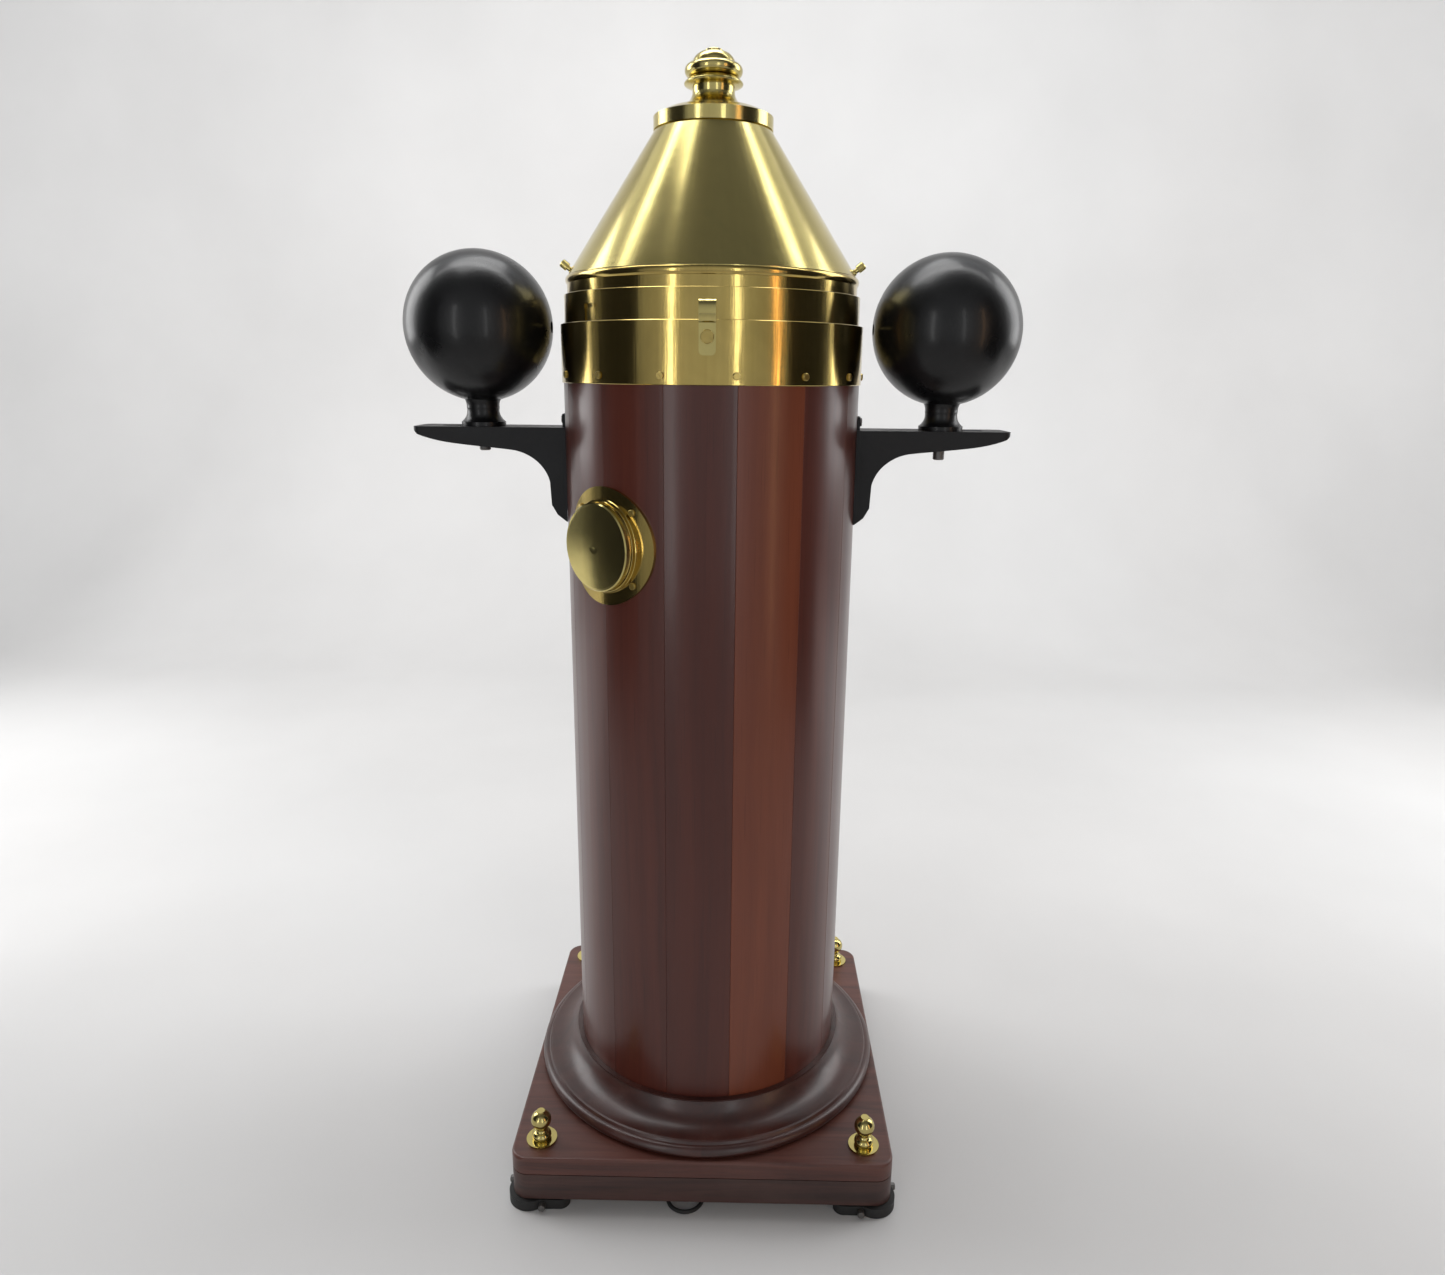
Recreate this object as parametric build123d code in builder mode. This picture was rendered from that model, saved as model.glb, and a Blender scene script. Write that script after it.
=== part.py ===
"""Ship's binnacle compass on a coopered wooden column.

Millimetres. The origin is on the floor at the centre of the base, +X to starboard,
+Y aft (the helmsman's side) and +Z up. Azimuths are counted in degrees from the
front (-Y) towards +X.
"""
from math import atan2, cos, degrees, radians, sin, sqrt
import os

from build123d import *

os.makedirs("parts", exist_ok=True)

# ---------------------------------------------------------------- driving sizes
GAP = 0.1                      # clearance between pieces that touch
RUNNING = 0.05                 # radial clearance of a shaft that turns or slides

BASE_SIDE = 480.0
BASE_CORNER_R = 22.0
FOOT_H = 13.5
PLINTH_H = 36.7
BOARD_H = 23.8
BASE_TOP = FOOT_H + PLINTH_H + BOARD_H
BASE_WELL_R = 60.0             # opening through the middle of the base

COLUMN_R = 180.0
STAVE_T = 22.0
COLUMN_INNER_R = COLUMN_R - STAVE_T
STAVE_COUNT = 14
STAVE_PITCH = 360.0 / STAVE_COUNT
SEAM_AZIMUTH = 10.5
SEAM_W = 0.12
SEAM_GROOVE = 0.5              # side of the square cut that eases each seam
COLUMN_TOP = BASE_TOP + 992.0

BAND_BOTTOM = BASE_TOP + 934.3
BAND_TOP = BASE_TOP + 1001.2
BAND_R = 182.0
SHEET = 1.5                    # thickness of the spun brass

KNOB_OFFSET = 205.0            # corner ball nuts from the centre lines

COMPASS_Z = BASE_TOP + 999.3   # height of the gimbal centre and the sphere centres
SPHERE_R = 89.0
SPHERE_X = 284.0
PLATE_TOP = BASE_TOP + 881.0   # top of the bracket plates
BOLT_R = 7.0

SKIRT_R = 177.0
SKIRT_BOTTOM = BAND_TOP + 0.3
SKIRT_TOP = BASE_TOP + 1034.1
SLOT_AZIMUTHS = (-50.5, 129.5)
SLOT_W = 4.6
TWIST = 5.3                    # degrees from locked to free
PIN_R = 2.1

RIM_R = 173.0
CONE_BOTTOM_R = 172.0
CONE_BOTTOM = BASE_TOP + 1056.0
CONE_TOP_R = 67.0
CONE_TOP = BASE_TOP + 1218.0
CONE_HALF_ANGLE = degrees(atan2(CONE_BOTTOM_R - CONE_TOP_R, CONE_TOP - CONE_BOTTOM))

PORT_AZIMUTH = -40.3
PORT_Z = BASE_TOP + 754.4
PORT_BORE_R = 43.0
PORT_SLEEVE_R = 46.0

DOOR_AZIMUTH = 177.6           # the middle of a stave on the aft side
DOOR_BOTTOM = BASE_TOP + 150.0
DOOR_H = 320.0
DOOR_GAP = 0.8

BOWL_R = 112.0
CARD_R = 95.0
TRAY_SIDE = 200.0
ROD_OFFSET = 88.0
ROD_R = 5.0


# ---------------------------------------------------------------- shared helpers
def outward(azimuth):
    """Unit vector pointing out of the column at an azimuth."""
    angle = radians(azimuth)
    return Vector(sin(angle), -cos(angle), 0)


def spot(azimuth, radius, height):
    """A point given by azimuth, distance from the column's axis and height."""
    return outward(azimuth) * radius + Vector(0, 0, height)


def radial_frame(azimuth, radius, height):
    """A frame whose Z points out of the column, whose X is level and whose Y points up."""
    out = outward(azimuth)
    return Plane(origin=spot(azimuth, radius, height), x_dir=(-out.Y, out.X, 0), z_dir=out)


def compass_angle(azimuth):
    """The same direction as an angle from +X."""
    return azimuth - 90.0


def turned(*corners, frame=Plane.XY, mode=Mode.ADD):
    """Turn a closed outline of (radius, height) corners about a frame's Z axis."""
    side = Plane(origin=frame.origin, x_dir=frame.x_dir, z_dir=frame.x_dir.cross(frame.z_dir))
    with BuildSketch(side) as outline:
        with BuildLine():
            Polyline(*corners, close=True)
        make_face()
    revolve(outline.sketch, axis=Axis(frame.origin, frame.z_dir), mode=mode)


def tube(inner, outer, bottom, top, frame=Plane.XY, mode=Mode.ADD):
    """A plain ring between two radii and two heights."""
    turned((inner, bottom), (outer, bottom), (outer, top), (inner, top), frame=frame, mode=mode)


def rod(radius, bottom, top, frame=Plane.XY, mode=Mode.ADD):
    """A round bar along a frame's Z axis."""
    with BuildSketch(frame.offset(bottom)) as disc:
        Circle(radius)
    extrude(disc.sketch, amount=top - bottom, mode=mode)


def screw(frame, head_r, head_h, shank_r, shank_length, slot_w, slot_angle=0.0):
    """A slotted round-headed screw whose head sits on a frame."""
    edge = min(0.35 * head_h, 0.8)
    turned((0, -shank_length), (shank_r, -shank_length), (shank_r, 0), (head_r, 0),
           (head_r, head_h - edge), (head_r - edge, head_h), (0, head_h), frame=frame)
    with BuildSketch(frame.offset(head_h)) as cut:
        Rectangle(3 * head_r, slot_w, rotation=slot_angle)
    extrude(cut.sketch, amount=-0.45 * head_h, mode=Mode.SUBTRACT)


def save(part, name):
    """Label a finished part and write its file."""
    part.label = name
    export_step(part, f"parts/{name}.step")


# ---------------------------------------------------------------- base
CORNERS = [(KNOB_OFFSET * sx, KNOB_OFFSET * sy) for sx in (-1, 1) for sy in (-1, 1)]
STUD_R = 6.0
STUD_HOLE_R = 6.2

# lower board of the base
with BuildPart() as base_plinth:
    with BuildSketch(Plane.XY.offset(FOOT_H)):
        RectangleRounded(BASE_SIDE, BASE_SIDE, BASE_CORNER_R)
        Circle(BASE_WELL_R, mode=Mode.SUBTRACT)
        with Locations(*CORNERS):
            Circle(STUD_HOLE_R, mode=Mode.SUBTRACT)
    extrude(amount=PLINTH_H)
    chamfer(base_plinth.edges().group_by(Axis.Z)[0].filter_by(lambda e: e.length > 100), 1.0)
save(base_plinth.part, "base_plinth")

# upper board, with its top edge eased
with BuildPart() as base_top_board:
    with BuildSketch(Plane.XY.offset(FOOT_H + PLINTH_H)):
        RectangleRounded(BASE_SIDE, BASE_SIDE, BASE_CORNER_R)
        Circle(BASE_WELL_R, mode=Mode.SUBTRACT)
        with Locations(*CORNERS):
            Circle(STUD_HOLE_R, mode=Mode.SUBTRACT)
    extrude(amount=BOARD_H)
    outer_edges = base_top_board.faces().sort_by(Axis.Z)[-1].outer_wire().edges()
    fillet(outer_edges, 3.5)
    outer_edges = base_top_board.faces().sort_by(Axis.Z)[0].outer_wire().edges()
    chamfer(outer_edges, 1.0)
save(base_top_board.part, "base_top_board")

# turned moulding round the foot of the column: bead, groove, cove and lip
BEAD_R = 8.0
BEAD_CENTRE_R = 229.0
with BuildPart() as base_moulding:
    with BuildSketch(Plane.XZ):
        with BuildLine():
            Line((COLUMN_R + GAP, BASE_TOP), (BEAD_CENTRE_R, BASE_TOP))
            ThreePointArc((BEAD_CENTRE_R, BASE_TOP), (BEAD_CENTRE_R + BEAD_R, BASE_TOP + BEAD_R),
                          (BEAD_CENTRE_R, BASE_TOP + 2 * BEAD_R))
            Polyline((BEAD_CENTRE_R, BASE_TOP + 2 * BEAD_R), (227, BASE_TOP + 18.8),
                     (224.5, BASE_TOP + 19.5))
            ThreePointArc((224.5, BASE_TOP + 19.5), (198.5, BASE_TOP + 27), (186, BASE_TOP + 43.5))
            Polyline((186, BASE_TOP + 43.5), (187, BASE_TOP + 44.5), (187, BASE_TOP + 46.5),
                     (COLUMN_R + GAP, BASE_TOP + 46.5), (COLUMN_R + GAP, BASE_TOP))
        make_face()
    revolve(axis=Axis.Z)
save(base_moulding.part, "base_moulding")

# lobed rubber pads under the four corners
PAD_CENTRE = 204.0
FOOT_PIN_R = 4.4
FOOT_PIN_OFFSET = 200.0
PAD_FACE = PAD_CENTRE + 37.0
with BuildPart() as corner_feet:
    for sx in (-1, 1):
        for sy in (-1, 1):
            with BuildSketch():
                with Locations((PAD_CENTRE * sx, PAD_CENTRE * sy)):
                    RectangleRounded(74, 74, 12)
                with Locations(((PAD_CENTRE + 15) * sx, (PAD_CENTRE + 15) * sy)):
                    Circle(26.5)
                with Locations((KNOB_OFFSET * sx, KNOB_OFFSET * sy)):
                    Circle(STUD_HOLE_R, mode=Mode.SUBTRACT)
    extrude(amount=FOOT_H - GAP / 2)
    for azimuth in (0, 90, 180, 270):
        for side in (-1, 1):
            face = radial_frame(azimuth, PAD_FACE, FOOT_H / 2)
            hole = Plane(origin=face.origin + face.x_dir * FOOT_PIN_OFFSET * side,
                         x_dir=face.x_dir, z_dir=face.z_dir)
            rod(FOOT_PIN_R + 0.02, -24, 2, frame=hole, mode=Mode.SUBTRACT)
save(corner_feet.part, "corner_feet")

# steel pins standing out of the pads at floor level
with BuildPart() as foot_pins:
    for azimuth in (0, 90, 180, 270):
        for side in (-1, 1):
            face = radial_frame(azimuth, PAD_FACE, FOOT_H / 2)
            hole = Plane(origin=face.origin + face.x_dir * FOOT_PIN_OFFSET * side,
                         x_dir=face.x_dir, z_dir=face.z_dir)
            turned((0, -23), (FOOT_PIN_R, -23), (FOOT_PIN_R, 7.2), (FOOT_PIN_R - 0.8, 8), (0, 8),
                   frame=hole)
save(foot_pins.part, "foot_pins")

WASHER_R = 19.25
WASHER_T = 2.5
with BuildPart() as corner_washers:
    with BuildSketch(Plane.XY.offset(BASE_TOP)):
        with Locations(*CORNERS):
            Circle(WASHER_R)
            Circle(STUD_HOLE_R, mode=Mode.SUBTRACT)
    extrude(amount=WASHER_T)
save(corner_washers.part, "corner_washers")

# ball nuts: a bulb, a waist, a ball and a small flat on top
BALL_R = 12.7
with BuildPart() as corner_knobs:
    for x, y in CORNERS:
        seat = Plane.XY.offset(BASE_TOP + WASHER_T)
        knob = Plane(origin=(x, y, seat.origin.Z))
        with BuildSketch(Plane(origin=knob.origin, x_dir=(1, 0, 0), z_dir=(0, -1, 0))) as outline:
            with BuildLine():
                Polyline((0, -40), (STUD_R, -40), (STUD_R, 0), (10.5, 0), (11.2, 1))
                ThreePointArc((11.2, 1), (12, 5.5), (9.5, 9.5))
                ThreePointArc((9.5, 9.5), (6.6, 12), (7.2, 16))
                ThreePointArc((7.2, 16), (BALL_R, 26.5), (5, 38.2))
                Polyline((5, 38.2), (5, 40), (0, 40), (0, -40))
            make_face()
        revolve(outline.sketch, axis=Axis(knob.origin, (0, 0, 1)))
save(corner_knobs.part, "corner_knobs")

# ---------------------------------------------------------------- column
SEAM_ANGLE = compass_angle(SEAM_AZIMUTH)
SCREW_R = 2.0                  # shanks of the band screws
BRACKET_SCREW_R = 2.5
BAND_SCREW_Z = BASE_TOP + 943.9
BAND_SCREW_AZIMUTH = 9.8
CATCH_Z = BASE_TOP + 983.6
CATCH_SHANK_R = 3.0
BRACKET_SCREW_HEIGHTS = (BASE_TOP + 890.0, BASE_TOP + 851.0, BASE_TOP + 796.0)
CABLE_AZIMUTH = -128.0
CABLE_Z = BASE_TOP + 112.0
CABLE_R = 2.5
GLAND_R = 6.0
PORT_SCREW_OFFSET = 41.4       # the four flange screws from the port's axis, across and up
PORT_SCREW_TURN = degrees(PORT_SCREW_OFFSET / COLUMN_R)
PORT_SCREWS = [(PORT_AZIMUTH + sx * PORT_SCREW_TURN, PORT_Z + sz * PORT_SCREW_OFFSET)
               for sx in (-1, 1) for sz in (-1, 1)]
DOOR_HALF_ANGLE = STAVE_PITCH
DOOR_EDGE_ANGLE = degrees(DOOR_GAP / COLUMN_R)
HINGE_AZIMUTH = DOOR_AZIMUTH - DOOR_HALF_ANGLE


def wedge(inner, outer, azimuth, half_angle, bottom, height, mode=Mode.ADD):
    """Part of a ring, centred on an azimuth."""
    first = compass_angle(azimuth - half_angle)
    middle = compass_angle(azimuth)
    last = compass_angle(azimuth + half_angle)

    def at(radius, angle):
        return (radius * cos(radians(angle)), radius * sin(radians(angle)))

    with BuildSketch(Plane.XY.offset(bottom)) as sector:
        with BuildLine():
            Line(at(inner, first), at(outer, first))
            ThreePointArc(at(outer, first), at(outer, middle), at(outer, last))
            Line(at(outer, last), at(inner, last))
            ThreePointArc(at(inner, last), at(inner, middle), at(inner, first))
        make_face()
    extrude(sector.sketch, amount=height, mode=mode)


def seam_grooves():
    """Shallow vee grooves where the staves meet."""
    with BuildSketch(Plane.XY.offset(BASE_TOP)) as grooves:
        with PolarLocations(COLUMN_R, STAVE_COUNT, start_angle=SEAM_ANGLE):
            Rectangle(SEAM_GROOVE, SEAM_GROOVE, rotation=45)
    extrude(grooves.sketch, amount=COLUMN_TOP - BASE_TOP, mode=Mode.SUBTRACT)


with BuildPart() as column_staves:
    with BuildSketch(Plane.XY.offset(BASE_TOP)):
        Circle(COLUMN_R)
        Circle(COLUMN_INNER_R, mode=Mode.SUBTRACT)
        with PolarLocations(COLUMN_R - STAVE_T / 2, STAVE_COUNT, start_angle=SEAM_ANGLE):
            Rectangle(STAVE_T + 4, SEAM_W, mode=Mode.SUBTRACT)
    extrude(amount=COLUMN_TOP - BASE_TOP)
    seam_grooves()
    wedge(COLUMN_INNER_R - 5, COLUMN_R + 5, DOOR_AZIMUTH, DOOR_HALF_ANGLE, DOOR_BOTTOM, DOOR_H,
          mode=Mode.SUBTRACT)
    rod(PORT_SLEEVE_R + GAP, -30, 10, frame=radial_frame(PORT_AZIMUTH, COLUMN_R, PORT_Z),
        mode=Mode.SUBTRACT)
    for index in range(STAVE_COUNT):
        azimuth = BAND_SCREW_AZIMUTH + index * STAVE_PITCH
        rod(SCREW_R + GAP, -17, 5, frame=radial_frame(azimuth, COLUMN_R, BAND_SCREW_Z),
            mode=Mode.SUBTRACT)
    rod(CATCH_SHANK_R + GAP, -17, 5, frame=radial_frame(0, COLUMN_R, CATCH_Z), mode=Mode.SUBTRACT)
    for azimuth in (-90, 90):
        for height in BRACKET_SCREW_HEIGHTS:
            rod(BRACKET_SCREW_R + GAP, -17, 5, frame=radial_frame(azimuth, COLUMN_R, height),
                mode=Mode.SUBTRACT)
    for azimuth, height in PORT_SCREWS:
        rod(SCREW_R + GAP, -17, 5, frame=radial_frame(azimuth, COLUMN_R, height),
            mode=Mode.SUBTRACT)
    rod(GLAND_R + GAP, -30, 5, frame=radial_frame(CABLE_AZIMUTH, COLUMN_R, CABLE_Z),
        mode=Mode.SUBTRACT)
save(column_staves.part, "column_staves")

HOOP_H = 20.0
MAGNET_SHELF_Z = BASE_TOP + 530.0
COMPASS_SHELF_Z = BASE_TOP + 868.0
# ---------------------------------------------------------------- brass round the column head
COLLAR_R = SKIRT_R - SHEET - 0.3
with BuildPart() as top_band:
    turned((COLUMN_R + GAP, BAND_BOTTOM), (BAND_R - 0.6, BAND_BOTTOM), (BAND_R, BAND_BOTTOM + 0.6),
           (BAND_R, BAND_TOP - 0.6), (BAND_R - 0.6, BAND_TOP), (COLLAR_R + GAP, BAND_TOP),
           (COLLAR_R + GAP, BAND_TOP - 2), (COLUMN_R + GAP, BAND_TOP - 2))
    for index in range(STAVE_COUNT):
        azimuth = BAND_SCREW_AZIMUTH + index * STAVE_PITCH
        rod(SCREW_R + GAP, -5, 5, frame=radial_frame(azimuth, COLUMN_R, BAND_SCREW_Z),
            mode=Mode.SUBTRACT)
    rod(CATCH_SHANK_R + GAP, -5, 5, frame=radial_frame(0, COLUMN_R, CATCH_Z), mode=Mode.SUBTRACT)
save(top_band.part, "top_band")

with BuildPart() as band_screws:
    for index in range(STAVE_COUNT):
        azimuth = BAND_SCREW_AZIMUTH + index * STAVE_PITCH
        screw(radial_frame(azimuth, BAND_R + 0.05, BAND_SCREW_Z), head_r=4.15, head_h=2.2,
              shank_r=SCREW_R, shank_length=14, slot_w=1.0, slot_angle=37.0 * index)
save(band_screws.part, "band_screws")

# collar standing on the staves, with the two pins of the bayonet lock
COLLAR_TOP = SKIRT_TOP - 4.0
PIN_AZIMUTHS = [azimuth + TWIST for azimuth in SLOT_AZIMUTHS]
PIN_Z = BASE_TOP + 1017.5
with BuildPart() as bayonet_collar:
    turned((150, COLUMN_TOP), (COLLAR_R, COLUMN_TOP), (COLLAR_R, COLLAR_TOP),
           (COLLAR_R - 3, COLLAR_TOP), (COLLAR_R - 3, COLUMN_TOP + 3), (150, COLUMN_TOP + 3))
    for azimuth in PIN_AZIMUTHS:
        rod(PIN_R + 0.02, -5, 5, frame=radial_frame(azimuth, COLLAR_R, PIN_Z), mode=Mode.SUBTRACT)
    for azimuth in PIN_AZIMUTHS:
        rod(PIN_R, -3, 3.4, frame=radial_frame(azimuth, COLLAR_R, PIN_Z))
save(bayonet_collar.part, "bayonet_collar")

# ---------------------------------------------------------------- front catch
STRAP_W = 18.0
STRAP_T = 2.0
STRAP_IN = BAND_R + 0.15
STRAP_BOTTOM = BASE_TOP + 964.8
STRAP_TOP = BASE_TOP + 1020.3
with BuildPart() as front_catch:
    with BuildSketch(Plane(origin=(0, 0, 0), x_dir=(0, -1, 0), z_dir=(-1, 0, 0))) as side:
        with BuildLine():
            Line((STRAP_IN, STRAP_BOTTOM), (STRAP_IN, BAND_TOP - 3))
            ThreePointArc((STRAP_IN, BAND_TOP - 3), (STRAP_IN + 5, BAND_TOP + 8),
                          (STRAP_IN - 1.2, STRAP_TOP))
            Line((STRAP_IN - 1.2, STRAP_TOP), (STRAP_IN + 0.6, STRAP_TOP + 0.9))
            ThreePointArc((STRAP_IN + 0.6, STRAP_TOP + 0.9), (STRAP_IN + 7, BAND_TOP + 8.5),
                          (STRAP_IN + STRAP_T, BAND_TOP - 3.5))
            Line((STRAP_IN + STRAP_T, BAND_TOP - 3.5), (STRAP_IN + STRAP_T, STRAP_BOTTOM))
            Line((STRAP_IN + STRAP_T, STRAP_BOTTOM), (STRAP_IN, STRAP_BOTTOM))
        make_face()
    extrude(side.sketch, amount=STRAP_W / 2, both=True)
    lower_corners = front_catch.edges().filter_by(Axis.Y).group_by(Axis.Z)[0]
    fillet(lower_corners, 5)
    rod(CATCH_SHANK_R + RUNNING, -8, 8, frame=radial_frame(0, BAND_R, CATCH_Z), mode=Mode.SUBTRACT)
save(front_catch.part, "front_catch")

with BuildPart() as catch_screw:
    screw(radial_frame(0, STRAP_IN + STRAP_T + 0.1, CATCH_Z), head_r=7.2, head_h=3.4,
          shank_r=CATCH_SHANK_R, shank_length=18, slot_w=1.5, slot_angle=-30)
save(catch_screw.part, "catch_screw")

# ---------------------------------------------------------------- brackets and spheres
BRACKET_W = 64.0
WEB_T = 5.5
PLATE_T = 4.2
TIP_X = 365.0
SLIDE_IN = 5.0                 # how far a sphere can move towards the column
SLIDE_OUT = 45.0
FLANGE_R = 27.0


def bracket(side):
    """One cast bracket: slotted plate, two curved webs and a back plate against the column."""
    with BuildPart() as casting:
        with BuildSketch(Plane.XZ) as web:
            with BuildLine():
                Polyline((170, PLATE_TOP), (TIP_X, PLATE_TOP), (TIP_X, PLATE_TOP - PLATE_T),
                         (359.5, PLATE_TOP - 9.2))
                Spline((359.5, PLATE_TOP - 9.2), (332.6, PLATE_TOP - 17), (305, PLATE_TOP - 21),
                       (275, PLATE_TOP - 24), (244, PLATE_TOP - 27.2))
                Spline((244, PLATE_TOP - 27.2), (217.5, PLATE_TOP - 37.4), (204, PLATE_TOP - 51.4),
                       (198, PLATE_TOP - 66))
                Polyline((198, PLATE_TOP - 66), (196.6, PLATE_TOP - 94), (189.6, PLATE_TOP - 106.3),
                         (178.8, PLATE_TOP - 114.7), (170, PLATE_TOP - 114.7), (170, PLATE_TOP))
            make_face()
        extrude(web.sketch, amount=BRACKET_W / 2, both=True)
        # the channel between the webs
        with BuildSketch(Plane.XY.offset(PLATE_TOP - PLATE_T)) as channel:
            with Locations(((184 + TIP_X) / 2 - 6, 0)):
                Rectangle(TIP_X - 184, BRACKET_W - 2 * WEB_T)
        extrude(channel.sketch, amount=-140, mode=Mode.SUBTRACT)
        # rounded tip corners
        fillet(casting.edges().filter_by(Axis.Z).group_by(Axis.X)[-1], 9)
        # lug above the plate
        with BuildSketch(Plane.YZ.offset(170)) as lug:
            with Locations((0, PLATE_TOP + 6)):
                Rectangle(BRACKET_W - 14, 20)
        extrude(lug.sketch, amount=18)
        # hollow against the column, and nothing prouder than the lug above the plate
        rod(COLUMN_R + 0.1, 0, 2000, mode=Mode.SUBTRACT)
        with BuildSketch(Plane.XY.offset(PLATE_TOP)) as trim:
            Circle(400)
            Circle(183.4, mode=Mode.SUBTRACT)
        extrude(trim.sketch, amount=30, mode=Mode.SUBTRACT)
        # slot for the sphere bolt
        slot_length = SLIDE_IN + SLIDE_OUT + 2 * (BOLT_R + 0.3)
        with BuildSketch(Plane.XY.offset(PLATE_TOP + 1)) as slot:
            with Locations((SPHERE_X + (SLIDE_OUT - SLIDE_IN) / 2, 0)):
                SlotOverall(slot_length, 2 * (BOLT_R + 0.3))
        extrude(slot.sketch, amount=-20, mode=Mode.SUBTRACT)
        for height in BRACKET_SCREW_HEIGHTS:
            rod(BRACKET_SCREW_R + GAP, -5, 20, frame=radial_frame(90, COLUMN_R, height),
                mode=Mode.SUBTRACT)
    return casting.part if side > 0 else mirror(casting.part, about=Plane.YZ)


bracket_right = bracket(1)
bracket_left = bracket(-1)
save(bracket_right, "bracket_right")
save(bracket_left, "bracket_left")

with BuildPart() as bracket_screws:
    for azimuth in (-90, 90):
        for height, seat in zip(BRACKET_SCREW_HEIGHTS, (183.4, 184.0, 184.0)):
            screw(radial_frame(azimuth, seat + 0.1, height), head_r=5.2, head_h=3.0,
                  shank_r=BRACKET_SCREW_R, shank_length=16, slot_w=1.2, slot_angle=20)
save(bracket_screws.part, "bracket_screws")

PEDESTAL_H = 32.0
SHELL_T = 8.0
BOSS_R = 18.0


def corrector(side, bolt_bottom):
    """A hollow iron sphere, its pedestal, and the bolt and nut that clamp it to the bracket."""
    centre = Vector(SPHERE_X * side, 0, COMPASS_Z)
    foot = Plane(origin=(SPHERE_X * side, 0, PLATE_TOP + GAP))
    boss_top = COMPASS_Z - SPHERE_R + 30 - PLATE_TOP
    boss = Plane(origin=(SPHERE_X * side, 0, PLATE_TOP))
    with BuildPart() as ball:
        with Locations(centre):
            Sphere(SPHERE_R - SHELL_T)
        with BuildPart(mode=Mode.PRIVATE) as block:
            rod(BOSS_R, 0, boss_top, frame=boss)
        inner = ball.part - block.part
        with Locations(centre):
            Sphere(SPHERE_R)
        add(inner, mode=Mode.SUBTRACT)
        rod(BOLT_R + RUNNING, 0, boss_top - 4, frame=boss, mode=Mode.SUBTRACT)
        plug = Plane(origin=centre, x_dir=(0, 1, 0), z_dir=(-side, 0, 0))
        rod(BOLT_R, SPHERE_R - SHELL_T - 6, SPHERE_R + 5, frame=plug, mode=Mode.SUBTRACT)
    with BuildPart() as pedestal:
        with BuildSketch(Plane(origin=foot.origin, x_dir=(1, 0, 0), z_dir=(0, -1, 0))) as outline:
            with BuildLine():
                Polyline((BOLT_R + RUNNING, 0), (FLANGE_R, 0), (FLANGE_R, 5), (FLANGE_R - 1.5, 6.2))
                ThreePointArc((FLANGE_R - 1.5, 6.2), (20.6, 13), (20, 22))
                ThreePointArc((20, 22), (20.4, 28), (23.5, PEDESTAL_H + 2))
                Polyline((23.5, PEDESTAL_H + 2), (BOLT_R + RUNNING, PEDESTAL_H + 2),
                         (BOLT_R + RUNNING, 0))
            make_face()
        revolve(outline.sketch, axis=Axis(foot.origin, (0, 0, 1)))
        with Locations(centre):
            Sphere(SPHERE_R + GAP / 2, mode=Mode.SUBTRACT)
    with BuildPart() as bolt:
        turned((0, bolt_bottom), (BOLT_R - 1.2, bolt_bottom), (BOLT_R, bolt_bottom + 1.2),
               (BOLT_R, PLATE_TOP + boss_top - 6), (0, PLATE_TOP + boss_top - 6),
               frame=Plane(origin=(SPHERE_X * side, 0, 0)))
    with BuildPart() as nut:
        with BuildSketch(Plane(origin=(SPHERE_X * side, 0, PLATE_TOP - PLATE_T - GAP))) as hexagon:
            RegularPolygon(11, 6, major_radius=False)
            Circle(BOLT_R + 0.02, mode=Mode.SUBTRACT)
        extrude(hexagon.sketch, amount=-11)
    fastening = Compound(children=[bolt.part.solid(), nut.part.solid()])
    return ball.part, pedestal.part, fastening


for side, word, bolt_end in ((-1, "left", 851.0), (1, "right", 845.0)):
    ball, pedestal, fastening = corrector(side, BASE_TOP + bolt_end)
    save(ball, f"corrector_sphere_{word}")
    save(pedestal, f"sphere_pedestal_{word}")
    save(fastening, f"sphere_bolt_{word}")

# ---------------------------------------------------------------- hood
# skirt ring with the bayonet slots
LEDGE_R = 165.0
with BuildPart() as hood_skirt:
    turned((SKIRT_R - SHEET, SKIRT_BOTTOM), (SKIRT_R, SKIRT_BOTTOM), (SKIRT_R, SKIRT_TOP - 0.5),
           (SKIRT_R - 0.5, SKIRT_TOP), (LEDGE_R, SKIRT_TOP), (LEDGE_R, SKIRT_TOP - 2),
           (SKIRT_R - SHEET, SKIRT_TOP - 2))
    slot_angle = degrees(SLOT_W / 2 / SKIRT_R)
    for azimuth in SLOT_AZIMUTHS:
        wedge(SKIRT_R - 4, SKIRT_R + 4, azimuth, slot_angle, SKIRT_BOTTOM - 1,
              PIN_Z + SLOT_W / 2 - SKIRT_BOTTOM + 1, mode=Mode.SUBTRACT)
        wedge(SKIRT_R - 4, SKIRT_R + 4, azimuth + TWIST / 2, TWIST / 2 + slot_angle,
              PIN_Z - SLOT_W / 2, SLOT_W, mode=Mode.SUBTRACT)
save(hood_skirt.part, "hood_skirt")

# rim band with its rolled bead
RIM_BOTTOM = SKIRT_TOP + 0.1
BEAD_TOP = CONE_BOTTOM - 0.8
with BuildPart() as hood_rim_band:
    with BuildSketch(Plane.XZ):
        with BuildLine():
            Polyline((RIM_R - 3, RIM_BOTTOM), (RIM_R, RIM_BOTTOM), (RIM_R, BEAD_TOP - 9))
            ThreePointArc((RIM_R, BEAD_TOP - 9), (RIM_R + 1.9, BEAD_TOP - 4.5), (RIM_R, BEAD_TOP))
            Polyline((RIM_R, BEAD_TOP), (RIM_R - 3, BEAD_TOP), (RIM_R - 3, RIM_BOTTOM))
        make_face()
    revolve(axis=Axis.Z)
save(hood_rim_band.part, "hood_rim_band")

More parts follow.
